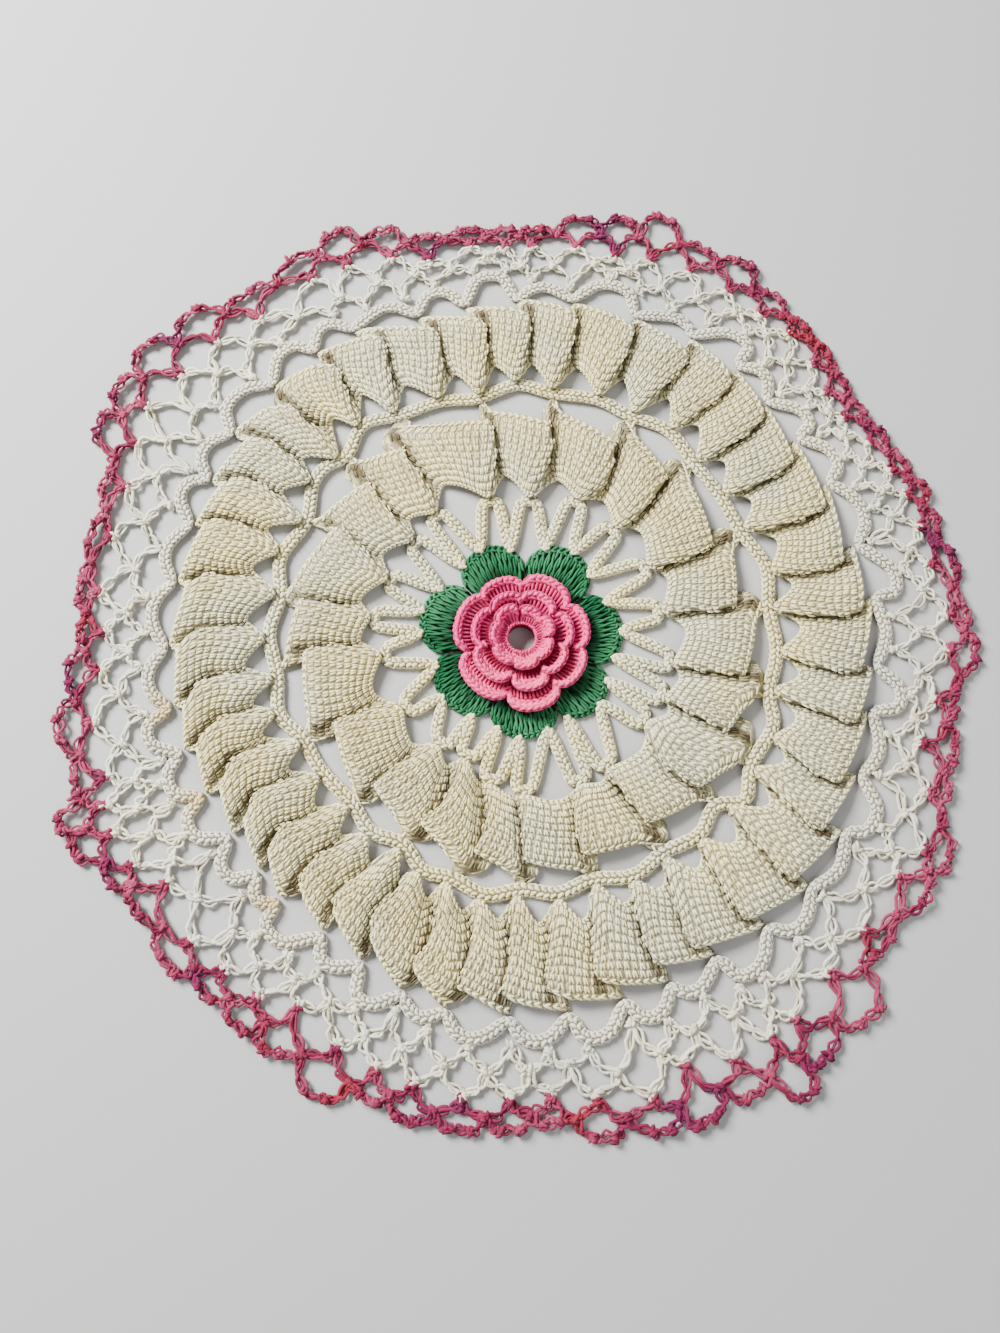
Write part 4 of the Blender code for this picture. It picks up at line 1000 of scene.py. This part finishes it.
def petal_braids(thick, bands, front):
    """Rows of a petal's rim: t0, t1, lift, fat, painted shade. thick: width of its threads, as a
    share.
    """
    rows = [(1 - 1.3 * thick, 1.0, 0.50, 2.0, 0.0),
            (1 - 0.9 * thick, 1 - 2.2 * thick, 0.75, 1.8, 0.08),
            (1.0, 1 - 0.9 * thick, -0.25, 1.9, 0.12)]
    if bands == 2:
        rows += [(1 - 3.0 * thick, 1 - 1.6 * thick, 0.6, 1.8, 0.05),
                 (1 - 2.6 * thick, 1 - 3.8 * thick, 0.5, 1.6, 0.2)]
    if front:
        rows += [(0.02, 0.2, 0.45, 1.5, 0.25)]
    return rows


def make_petals(name, ring, looks, sizes):
    """One ring of petals: a ground, posts fanning out, and a braided rim along each."""
    foot, rim, eye, notch, curl, cover, rows = PETALS[ring]
    rng = dice(name)
    thread = sizes.thread * 1000
    ground, shape, area = Shape(), Shape(), 0.0
    for row in rows:
        _, half, tip, bands = row
        place = petal(row, foot, rim, eye, notch, curl, rng.normal(0, PETAL_LEAN, 2))
        s, t = np.meshgrid(np.linspace(-1, 1, 21), np.linspace(0, 1, 9), indexing="ij")
        top, up = patch_frame(place, s, t)
        last = POSTS_END[bands]
        # painted shade: the ground is darkest where the ring in front hides it and lightens towards
        # the rim
        add_shell(ground, top + up * 0.3, top - up * 0.4, False,
                  deep=np.clip(0.95 - 0.6 * (t - cover) / (last - cover), 0.35, 1),
                  weave=np.stack([s * 8, t * 3], -1))
        area += worked_area(top)
        wide = 2 * math.radians(half) * (notch + tip) / 2
        n = int(round(wide / POST_EVERY["petal"]))
        t = np.linspace(0.06, last, 8)
        for post in -0.93 + 1.86 * (np.arange(n) + 0.5) / n:
            # painted shade on the posts, darkest where the ring in front hides them, with random
            # tone; the second strand of each post is a quarter darker
            shade = 0.95 - 1.1 * (t - cover) / (last - cover) + 0.10 * rng.standard_normal()
            for side in (-1, 1):
                swing = side * 0.34 / n * np.cos(2.1 * math.pi * t + rng.uniform(-0.4, 0.4))
                line, up = patch_frame(place, post + swing, t)
                line = line + up * (0.42 + 0.24 * side * np.sin(2.1 * math.pi * t))[:, None]
                add_strand(shape, line, thread * 0.58,
                           deep=np.repeat(np.clip(shade + 0.25 * (side > 0), 0, 1), 5))
        n = int(round(wide * PETAL_RIM / LOOP_EVERY["petal"]))
        s = -1 + 2 * np.arange(n) / n
        for *braid, deep in petal_braids(RIM_THREADS / (tip - eye), bands, ring == "front"):
            begin = s + 0.3 * rng.standard_normal(n) / n
            add_braid(shape, place, begin, np.minimum(s + 3.1 / n, 1.0), braid, thread, 0.2,
                      uneven(rng, deep, 0.08, n))
    if ring == "front":
        deg = np.linspace(0, 360, 48, endpoint=False)
        wall, outer = (np.stack([turn(deg, np.full(48, row[k]), row[2]) for row in THROAT], 1)
                       for k in (0, 1))
        # painted shade: the wall of the rose's eye is fully dark
        add_shell(ground, outer, wall, True, deep=1.0)
        area += THROAT_AREA
    return *two_pieces(name, ground, shape, looks, over_rose), area


def leaf(dip, end):
    """A leaf as a function of s (0 to 1 along its rim) and t (0 at its root, 1 at its rim)."""

    def place(s, t):
        deg = dip + (end - dip) * s
        outer = np.vectorize(leaf_edge)(deg)
        arch = np.clip(np.sin(np.pi * np.clip(s, 0.004, 0.996)), 0, 1) ** 0.5
        inner = np.minimum(LEAF_ROOT + (LEAF_REACH - LEAF_ROOT) * arch, outer - 4.0)
        return turn(deg, inner + (outer - 0.5 - inner) * t, 0.9 + 0.5 * np.sin(np.pi * t))

    return place


def make_leaves(name, looks, sizes):
    """Seven leaves side by side, each with slanting posts and a looped rim."""
    rng = dice(name)
    thread = sizes.thread * 1000
    ground, shape, area = Shape(), Shape(), 0.0
    for i, (dip, _, _, _) in enumerate(LEAVES):
        end = LEAVES[(i + 1) % len(LEAVES)][0]
        end += 360 * (end < dip)
        place = leaf(dip, end)
        s, t = np.meshgrid(np.linspace(0.01, 0.99, 31), np.linspace(0, 1, 9), indexing="ij")
        top, _ = patch_frame(place, s, t)
        # painted shade: the ground between the posts is fully dark
        add_shell(ground, top, on_floor(top), False, deep=1.0,
                  weave=np.stack([s * 15, t * 3], -1))
        area += worked_area(top)
        n = int(round(math.radians(end - dip) * LEAF_MIDDLE_AT / POST_EVERY["leaf"]))
        t = np.linspace(0.02, 0.90, 10)
        for post in 0.045 + 0.91 * (np.arange(n) + 0.5) / n:
            lean, long = rng.normal(0, 0.5), rng.uniform(0.9, 1.1)
            # painted shade: the posts are darkest at the root under the rose, with random tone
            shade = np.clip(1.15 - 2.0 * t, 0, 0.9) + np.clip(rng.normal(0.12, 0.2), 0, 0.5)
            turns = 2.6 * math.pi * t * long + lean
            for side in (-1, 1):
                swing = side * 0.24 / n * np.cos(turns)
                line, up = patch_frame(place, post + swing + 0.30 / n * (t - 0.5), t)
                line = line + up * (0.40 + 0.30 * side * np.sin(turns))[:, None]
                add_strand(shape, line, thread * 0.62, deep=np.repeat(np.clip(shade, 0, 1), 5))
        n = int(round(math.radians(end - dip) * LEAF_RIM_AT / LOOP_EVERY["leaf"]))
        s = 0.01 + 0.98 * np.arange(n) / n
        for row in LEAF_BRAIDS:
            add_braid(shape, place, s, np.minimum(s + 1.1 / n, 0.995), row, thread, 0.15,
                      uneven(rng, 0.1, 0.15, n))
    return *two_pieces(name, ground, shape, looks), area


# ---------------------------------------------------------------- net and edging
def wobble(i, k):
    """Small repeatable unevenness between -1 and 1."""
    return math.sin(12.9898 * i + 78.233 * k) * math.cos(4.1 * i * k + k)


def loop_between(i, column):
    """Angle half way to the next loop, and a column's mean there."""
    row, nxt = LOOPS[i], LOOPS[(i + 1) % len(LOOPS)]
    return (row[0] + nxt[0] + 360 * (nxt[0] < row[0])) / 2, (row[column] + nxt[column]) / 2


class ArcEdge:
    """Outer edge of the scalloped cord at any angle."""

    def __init__(self):
        line = eased(arc_line(), 6)
        deg, r = directions(line)
        self.rows = sorted(zip(deg % 360, r + line[:, 3] / 2))

    def __call__(self, deg):
        return max(float(around(self.rows, (deg + k) % 360, 1)) for k in (-1.2, -0.6, 0, 0.6, 1.2))

    def knot(self, i):
        """Where the net ends and the edging starts, with room for two rows of loops below."""
        deg, knot, _ = LOOPS[i]
        return max(knot, self(deg) + NET_SEAT + NET_ROOM + KNOT_GAP)


def net_bars(edge):
    """Places of the net's knots, and the bars between them. It is sewn to the scalloped cord."""
    n, lift = len(LOOPS), CHAIN_HIGH / 2
    places, bars = {}, []
    for i, (deg, _, _) in enumerate(LOOPS):
        places["foot", i] = (deg, edge(deg) + 0.4, lift)
        half, mean = loop_between(i, 1)
        low = edge(half) + NET_SEAT
        first = max(low + 0.42 * (mean - low), low + 1.0)
        places["first", i] = (half, first, lift + 0.5 + 0.4 * wobble(i, 1))
        places["knot", i] = (deg, edge.knot(i) - KNOT_GAP + 0.6, lift + 0.35 + 0.3 * wobble(i, 2))
        j = (i + 1) % n
        bars += [(("foot", i), ("first", i)), (("first", i), ("foot", j))]
        bars += [(("first", i), ("knot", i)), (("first", i), ("knot", j))]
    return places, bars


def edging_bars(edge):
    """The same of the edging, which hangs on the net's knots."""
    n, lift = len(LOOPS), CHAIN_HIGH / 2
    places, bars = {}, []
    for i in range(n):
        deg, j = LOOPS[i][0], (i + 1) % n
        places["foot", i] = (deg, edge.knot(i) + KNOT_GAP - 0.8, lift + 0.35 + 0.3 * wobble(i, 2))
        half, mean = loop_between(i, 1)
        reach = loop_between(i, 2)[1]
        feet = max(edge.knot(i), edge.knot(j)) + KNOT_GAP
        first = max(mean + 0.5 * (reach - mean), feet + 1.2)
        places["first", i] = (half, first, lift + 0.6 + 0.4 * wobble(i, 3))
    for i, (deg, _, tip) in enumerate(LOOPS):
        j = (i + 1) % n
        before, after = places["first", (i - 1) % n], places["first", i]
        gap = (after[0] - before[0]) % 360
        top = max(tip - CHAIN_WIDE * 0.4, min(before[1], after[1]) + 3.2)
        z = lift + 0.9 + 0.6 * wobble(i, 4)
        places["left", i] = (deg - 0.2 * gap, top - 0.6 * (1 + wobble(i, 5)), z)
        places["right", i] = (deg + 0.2 * gap, top - 0.6 * (1 - wobble(i, 5)), z)
        bars += [(("foot", i), ("first", i)), (("first", i), ("foot", j))]
        bars += [(("first", (i - 1) % n), ("left", i)), (("left", i), ("right", i))]
        bars += [(("right", i), ("first", i))]
    return places, bars


def make_lace(name, places, bars, look, sizes, strands=3):
    """Chains of loose loops, each of a few strands drawn apart, with a knot where they meet.

    Each bar leaves its inner end away from the rose and turns along the round at its outer end. It
    is one stitch long, or two where it is longer.
    """
    rng = dice(name)
    radius = sizes.strand * 500
    at = {k: np.array((*polar(d, r), z)) for k, (d, r, z) in places.items()}
    for k in at:
        at[k] = at[k] + np.array((*rng.normal(0, 0.35, 2), 0.0)) * (k[0] == "first")
    shape, total = Shape(), 0.0
    for a, b in bars:
        if places[a][1] > places[b][1]:
            a, b = b, a
        p, q = at[a], at[b]
        bend = np.array((*polar(places[a][0], places[b][1]), q[2]))
        bend = (p + q) / 2 * (1 - BAR_BEND) + BAR_BEND * bend
        far = np.linalg.norm(q - p)
        loops = 1 if far < LONG_BAR else 2
        t = np.linspace(0, 1, 9 if loops == 1 else 13)[:, None]
        middle = (1 - t) ** 2 * p + 2 * t * (1 - t) * bend + t**2 * q
        way = (q - p) / far
        side = np.array([-way[1], way[0], 0.0])
        open_ = np.abs(np.sin(np.pi * t * loops)) ** 0.7
        hump = np.sin(np.pi * t) ** 0.5
        middle = middle + side * hump * 0.55 * np.sin(2 * math.pi * t + rng.uniform(0, 6.28))
        phase = rng.uniform(0, 2 * math.pi)
        for k in range(strands):
            apart = APART * (k - (strands - 1) / 2) * rng.uniform(0.75, 1.35)
            turn_ = phase + 2 * math.pi * k / strands + (2.0 + 2.2 * loops) * t
            line = middle + side * (open_ * apart + 0.34 * hump * np.cos(turn_))
            line[:, 2:] += 0.42 * hump * np.sin(turn_) + hump * rng.uniform(-0.1, 0.4)
            line[:, :2] += 0.13 * rng.standard_normal((len(t), 2)) * hump
            plump = radius * rng.uniform(0.98, 1.22)
            line[:, 2] = np.maximum(line[:, 2], plump)
            add_strand(shape, line, plump, deep=float(np.clip(rng.normal(0.14, 0.2), 0, 1)))
            total += plump * np.linalg.norm(np.diff(line, axis=0), axis=1).sum()
    centres = np.array(list(at.values()))
    up = np.tile((0.0, 0.0, 1.0), (len(centres), 1))
    n = len(centres)
    for _ in range(KNOT_THREADS):
        angle = rng.uniform(0, 2 * math.pi, n)
        reach = np.stack([np.cos(angle), np.sin(angle), rng.uniform(-0.3, 0.3, n)], 1)
        reach *= rng.uniform(0.9, 1.9, n)[:, None]
        offset = np.stack([rng.normal(0, 0.55, n), rng.normal(0, 0.55, n),
                           rng.uniform(-0.2, 0.9, n)], 1)
        a, b = centres + offset - reach, centres + offset + reach
        for end in (a, b):
            end[:, 2] = np.maximum(end[:, 2], 0.45)
        add_threads(shape, a, b, up, 2.7 * radius, 2.4 * radius, 0.3,
                    deep=uneven(rng, 0.15, 0.2, n))
    return shape.piece(name + "_loops", look), math.pi * total * WOUND


# ---------------------------------------------------------------- cotton
def cotton(name, light, cool, shade_colour, ground=False, shades=None):
    """Cotton thread: two shades in soft blotches, painted shade in the folds, yellowed stains, a
    painted light on the pleats' ridges, and its twist as a bump.

    ground: whether it is the cloth under the stitches, which shows their cells, with painted shade
    in the gaps between them.
    shades: colours that follow each other along a variegated thread, in place of light and cool.
    """
    look = bpy.data.materials.new(name)
    look.use_nodes = True
    nodes, links = look.node_tree.nodes, look.node_tree.links
    shader = nodes["Principled BSDF"]
    shader.inputs["Metallic"].default_value = 0.0
    shader.inputs["Sheen Weight"].default_value = 0.04
    shader.inputs["Specular IOR Level"].default_value = 0.15

    def feed(socket, value):
        if isinstance(value, bpy.types.NodeSocket):
            links.new(value, socket)
        else:
            socket.default_value = value if np.ndim(value) == 0 else (*value, 1.0)

    def noise(scale, detail=2.0):
        texture = nodes.new("ShaderNodeTexNoise")
        for word, value in (("Vector", place.outputs["Object"]), ("Scale", scale),
                            ("Detail", detail)):
            feed(texture.inputs[word], value)
        return texture.outputs["Fac"]

    def spread(value, low, high, out_low=0.0, out_high=1.0):
        node = nodes.new("ShaderNodeMapRange")
        for word, number in (("Value", value), ("From Min", low), ("From Max", high),
                             ("To Min", out_low), ("To Max", out_high)):
            feed(node.inputs[word], number)
        return node.outputs["Result"]

    def mix(share, one, two):
        node = nodes.new("ShaderNodeMix")
        node.data_type = "RGBA"
        for socket, value in ((0, share), (6, one), (7, two)):
            feed(node.inputs[socket], value)
        return node.outputs[2]

    def mark(word, output="Fac"):
        node = nodes.new("ShaderNodeAttribute")
        node.attribute_name = word
        return node.outputs[output]

    def maths(kind, *values):
        node = nodes.new("ShaderNodeMath")
        node.operation = kind
        for socket, value in zip(node.inputs, values):
            feed(socket, value)
        return node.outputs[0]

    place = nodes.new("ShaderNodeTexCoord")
    if shades:
        ramp = nodes.new("ShaderNodeValToRGB")
        links.new(spread(noise(SHADES, 1.0), 0.28, 0.72), ramp.inputs["Fac"])
        marks = ramp.color_ramp.elements
        while len(marks) < len(shades):
            marks.new(0.5)
        for k, shade in enumerate(shades):
            marks[k].position = k / (len(shades) - 1)
            marks[k].color = (*shade, 1.0)
        colour = ramp.outputs["Color"]
    else:
        colour = mix(spread(noise(BLOTCHES), 0.40, 0.62), light, cool)
    colour = mix(spread(noise(SPECKS, 3.0), 0.40, 0.80, 0.0, 0.25), colour, shade_colour)
    # painted shade: the colour goes to its shade colour as far as the painted shade mark says, in
    # uneven patches
    shade_strength = maths("MULTIPLY", mark("deep"), spread(noise(SHADE_PATCHES), 0.3, 0.7, 0.75, 1.15))
    colour = mix(shade_strength, colour, shade_colour)
    # yellowed stains, and the painted light on the pleats' ridges
    colour = mix(mark("stain"), colour, STAIN_AND_RIDGE_LIGHT_COLOUR)
    height, bump_high = noise(TWIST), TWIST_HIGH
    if ground:
        split = nodes.new("ShaderNodeSeparateXYZ")
        links.new(mark("weave", "Vector"), split.inputs[0])
        along, across = (
            maths("ABSOLUTE", maths("SINE", maths("MULTIPLY", split.outputs[k], turn_)))
            for k, turn_ in ((0, 2 * math.pi), (1, math.pi)))
        cell = maths("MULTIPLY", along, across)
        height, bump_high = maths("ADD", height, maths("MULTIPLY", cell, 2.0)), STITCH_HIGH
        # painted shade in the gaps between the stitches' cells
        colour = mix(spread(cell, 0.0, 0.45, 0.6, 0.0), colour, shade_colour)
    bump = nodes.new("ShaderNodeBump")
    bump.inputs["Strength"].default_value = 0.5
    bump.inputs["Distance"].default_value = bump_high
    links.new(colour, shader.inputs["Base Color"])
    links.new(spread(noise(WEAR), 0.3, 0.7, 0.78, 0.95), shader.inputs["Roughness"])
    links.new(height, bump.inputs["Height"])
    links.new(bump.outputs["Normal"], shader.inputs["Normal"])
    return look


# ---------------------------------------------------------------- what a maker would change
def size_setting(name, description, default):
    """A length in m that the panel shows."""
    return FloatProperty(name=name, description=description, default=default, min=default / 4,
                         max=default * 4, precision=5, subtype="DISTANCE", unit="LENGTH")


def colour_setting(name, description, default):
    """A colour that the panel shows."""
    return FloatVectorProperty(name=name, description=description, default=default, size=3,
                               min=0.0, max=1.0, subtype="COLOR")


class DoilySizes(bpy.types.PropertyGroup):
    """Sizes of the thread and its stitches."""

    stitch: size_setting("Stitch", "Width of one single crochet", 0.00262)
    thread: size_setting("Thread", "Width of a tight thread in a stitch", 0.00072)
    strand: size_setting("Loose strand", "Width of a strand in the net and the edging", 0.00098)


class DoilyColours(bpy.types.PropertyGroup):
    """Colours of the thread."""

    # Each thread's last colour here is its painted shade: the colour it turns to in the folds,
    # between its stitches and in its darker specks.
    cream: colour_setting("Cream", "The strips and cords", (0.97, 0.86, 0.475))
    cream_cool: colour_setting("Faded cream", "Where the cream has faded", (0.87, 0.84, 0.585))
    # painted shade in the folds and between the stitches
    cream_shade: colour_setting("Cream in the folds", "Where the cream has darkened",
                               (0.12, 0.092, 0.045))
    white: colour_setting("White", "The net and the scalloped cord", (0.84, 0.79, 0.62))
    white_cool: colour_setting("Cool white", "Its cooler places", (0.74, 0.72, 0.62))
    white_shade: colour_setting("White in the shade", "Its darker places", (0.32, 0.27, 0.16))
    rose: colour_setting("Rose", "The rose's petals", (0.97, 0.06, 0.29))
    rose_warm: colour_setting("Warm rose", "Its warmer places", (1.0, 0.11, 0.29))
    # painted shade between the petals
    rose_shade: colour_setting("Rose in the folds", "Deep between the petals", (0.2, 0.0008, 0.022))
    green: colour_setting("Green", "The leaves", (0.006, 0.105, 0.035))
    green_light: colour_setting("Light green", "Their lighter places", (0.045, 0.245, 0.1))
    green_shade: colour_setting("Green in the folds", "Between their posts", (0.0004, 0.014, 0.003))
    pink: colour_setting("Pink", "The edging's main colour", (0.25, 0.021, 0.062))
    pink_light: colour_setting("Light pink", "The edging's lightest colour", (0.38, 0.055, 0.12))
    purple: colour_setting("Purple pink", "The edging's coolest colour", (0.17, 0.014, 0.068))
    coral: colour_setting("Coral", "The edging's warmest colour", (0.31, 0.022, 0.045))
    pink_shade: colour_setting("Pink in the shade", "Its darker places", (0.07, 0.0012, 0.012))


def settings():
    """The sizes and colours that the panel shows."""
    return bpy.context.scene.doily_sizes, bpy.context.scene.doily_colours


def looks_of(colour, light, cool, shade_colour):
    """The cotton of the cloth itself, and of the stitches on it."""
    return [cotton(f"{colour} cotton {w}", light, cool, shade_colour, ground=w == "cloth")
            for w in ("cloth", "stitches")]


def declare(node, cloth, stitches, flat, area):
    """The pieces are attached to the root and stand for the plain solid, which is hidden. The cloth
    is a sheet with the stitches on it.

    flat: width and length in mm. area: in square mm, where the cloth isn't a rectangle. Both are
    worked out here but not used.
    """
    for piece in (cloth, *stitches):
        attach(piece, "root")
        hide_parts(node)
    wide, long = (x / 1000 for x in flat)
    area = min(max(area / 1e6, LEAST_SHARE * wide * long), wide * long)


# ---------------------------------------------------------------- one button for each piece
class Made:
    """What the buttons share."""

    bl_options = {"REGISTER", "UNDO"}


class DOILY_OT_stage(Made, bpy.types.Operator):
    """Makes the pale floor, the soft light and the camera"""

    bl_idname = "doily.stage"
    bl_label = "Floor, light and camera"

    def execute(self, context):
        scene = context.scene
        mesh = bpy.data.meshes.new("floor")
        corners = [(x * FLOOR_HALF, y * FLOOR_HALF, 0)
                   for x, y in ((-1, -1), (1, -1), (1, 1), (-1, 1))]
        mesh.from_pydata(corners, [], [(0, 1, 2, 3)])
        floor = bpy.data.objects.new("floor", mesh)
        scene.collection.objects.link(floor)
        paper = bpy.data.materials.new("pale paper")
        paper.use_nodes = True
        shader = paper.node_tree.nodes["Principled BSDF"]
        shader.inputs["Base Color"].default_value = FLOOR_COLOUR
        shader.inputs["Roughness"].default_value = 0.9
        mesh.materials.append(paper)
        for name, place, size, power in LIGHTS:
            light = bpy.data.lights.new(name, "AREA")
            light.size, light.energy = size, power
            lamp = bpy.data.objects.new(name, light)
            lamp.location = place
            lamp.rotation_euler = (-Vector(place)).to_track_quat("-Z", "Y").to_euler()
            scene.collection.objects.link(lamp)
        world = bpy.data.worlds.new("soft room")
        world.use_nodes = True
        room = world.node_tree.nodes["Background"]
        room.inputs["Color"].default_value = ROOM_COLOUR
        room.inputs["Strength"].default_value = ROOM_STRENGTH
        scene.world = world
        camera = bpy.data.cameras.new("camera")
        camera.sensor_fit, camera.sensor_height, camera.lens = "VERTICAL", VIEW_SENSOR, VIEW_LENS
        viewer = bpy.data.objects.new("camera", camera)
        viewer.location = [(v + r) / 1000 for v, r in zip(VIEWER, (*ROSE_AT, 0))]
        viewer.rotation_euler = (math.radians(VIEW_TILT), 0, 0)
        scene.collection.objects.link(viewer)
        scene.camera = viewer
        return {"FINISHED"}


class DOILY_OT_leaves(Made, bpy.types.Operator):
    """Makes the seven leaves round the rose"""

    bl_idname = "doily.leaves"
    bl_label = "Leaves"

    def execute(self, context):
        sizes, c = settings()
        looks = looks_of("green", c.green, c.green_light, c.green_shade)
        cloth, stitches, area = make_leaves("leaf_round", looks, sizes)
        declare("leaf_round", cloth, [stitches], (LEAVES_WIDE, LEAVES_WIDE), area)
        return {"FINISHED"}


class DOILY_OT_rose(Made, bpy.types.Operator):
    """Makes the rose's three rings of petals"""

    bl_idname = "doily.rose"
    bl_label = "Rose"

    def execute(self, context):
        sizes, c = settings()
        looks = looks_of("rose", c.rose, c.rose_warm, c.rose_shade)
        for ring, wide in PETALS_WIDE.items():
            node = f"rose_{ring}_petals"
            cloth, stitches, area = make_petals(node, ring, looks, sizes)
            declare(node, cloth, [stitches], (wide, wide), area)
        return {"FINISHED"}


class DOILY_OT_cords(Made, bpy.types.Operator):
    """Makes the zigzag cord, the cord between the rounds and the scalloped cord"""

    bl_idname = "doily.cords"
    bl_label = "Cords"

    def execute(self, context):
        sizes, c = settings()
        cream = looks_of("cream", c.cream, c.cream_cool, c.cream_shade)
        white = looks_of("white", c.white, c.white_cool, c.white_shade)
        ring = np.array([(*polar(d, r), 0.0, CORD_WIDE) for d, r in ring_line()])
        for node, line, looks, slot, wide in (
            ("star_cord", star_line(), cream, "cream_cotton", STAR_WIDE),
            ("middle_cord", ring, cream, "cream_cotton", CORD_WIDE),
            ("outer_cord", arc_line(), white, "white_cotton", ARC_WIDE),
        ):
            cloth, stitches, long = make_cord(node, line, looks, sizes)
            declare(node, cloth, [stitches], (max(wide, LEAST_SIDE), long), wide * long)
        return {"FINISHED"}


class DOILY_OT_rounds(Made, bpy.types.Operator):
    """Makes the two pleated rounds"""

    bl_idname = "doily.rounds"
    bl_label = "Pleated rounds"

    def execute(self, context):
        sizes, c = settings()
        looks = looks_of("cream", c.cream, c.cream_cool, c.cream_shade)
        for node, surface in (("inner_ruffle", inner_surface()), ("outer_ruffle", outer_surface())):
            cloth = strip_ground(surface, node, looks[0], sizes.stitch * 1000)
            stitches = [strip_stitches(surface, node, looks[1], sizes),
                        strip_edges(surface, node, looks[1], sizes)]
            declare(node, cloth, stitches, (STRIP_WIDE, surface.long),
                    STRIP_WIDE * surface.long)
        return {"FINISHED"}


class DOILY_OT_net(Made, bpy.types.Operator):
    """Makes the white net of loose loops"""

    bl_idname = "doily.net"
    bl_label = "White net"

    def execute(self, context):
        sizes, c = settings()
        look = cotton("white cotton loops", c.white, c.white_cool, c.white_shade)
        lace, area = make_lace("white_net", *net_bars(ArcEdge()), look, sizes)
        declare("white_net", lace, [], (LACE_WIDE, NET_LONG), area)
        return {"FINISHED"}


class DOILY_OT_edging(Made, bpy.types.Operator):
    """Makes the variegated edging of loose loops"""

    bl_idname = "doily.edging"
    bl_label = "Coloured edging"

    def execute(self, context):
        sizes, c = settings()
        look = cotton("variegated pink cotton", c.pink, c.pink_light, c.pink_shade,
                      shades=(c.purple, c.pink, c.pink_light, c.pink, c.coral))
        lace, area = make_lace("pink_edging", *edging_bars(ArcEdge()), look, sizes)
        declare("pink_edging", lace, [], (LACE_WIDE, EDGING_LONG), area)
        return {"FINISHED"}


class DOILY_PT_panel(bpy.types.Panel):
    """Lists the doily's pieces in the sidebar"""

    bl_label = "Crocheted doily"
    bl_space_type = "VIEW_3D"
    bl_region_type = "UI"
    bl_category = "Doily"

    def draw(self, context):
        for group in (context.scene.doily_sizes, context.scene.doily_colours):
            column = self.layout.column()
            for word in group.bl_rna.properties.keys():
                if word not in ("rna_type", "name"):
                    column.prop(group, word)
        for button in BUTTONS:
            self.layout.operator(button.bl_idname)


BUTTONS = (
    DOILY_OT_stage, DOILY_OT_leaves, DOILY_OT_rose, DOILY_OT_cords, DOILY_OT_rounds, DOILY_OT_net,
    DOILY_OT_edging,
)
CLASSES = (DoilySizes, DoilyColours, *BUTTONS, DOILY_PT_panel)


def register():
    for one in CLASSES:
        bpy.utils.register_class(one)
    bpy.types.Scene.doily_sizes = PointerProperty(type=DoilySizes)
    bpy.types.Scene.doily_colours = PointerProperty(type=DoilyColours)


def unregister():
    del bpy.types.Scene.doily_colours
    del bpy.types.Scene.doily_sizes
    for one in reversed(CLASSES):
        bpy.utils.unregister_class(one)


def main():
    """Makes every piece."""
    register()
    for button in BUTTONS:
        group, word = button.bl_idname.split(".")
        if getattr(getattr(bpy.ops, group), word)() != {"FINISHED"}:
            raise RuntimeError(f"{button.bl_label} couldn't be made")


if __name__ == "__main__":
    main()
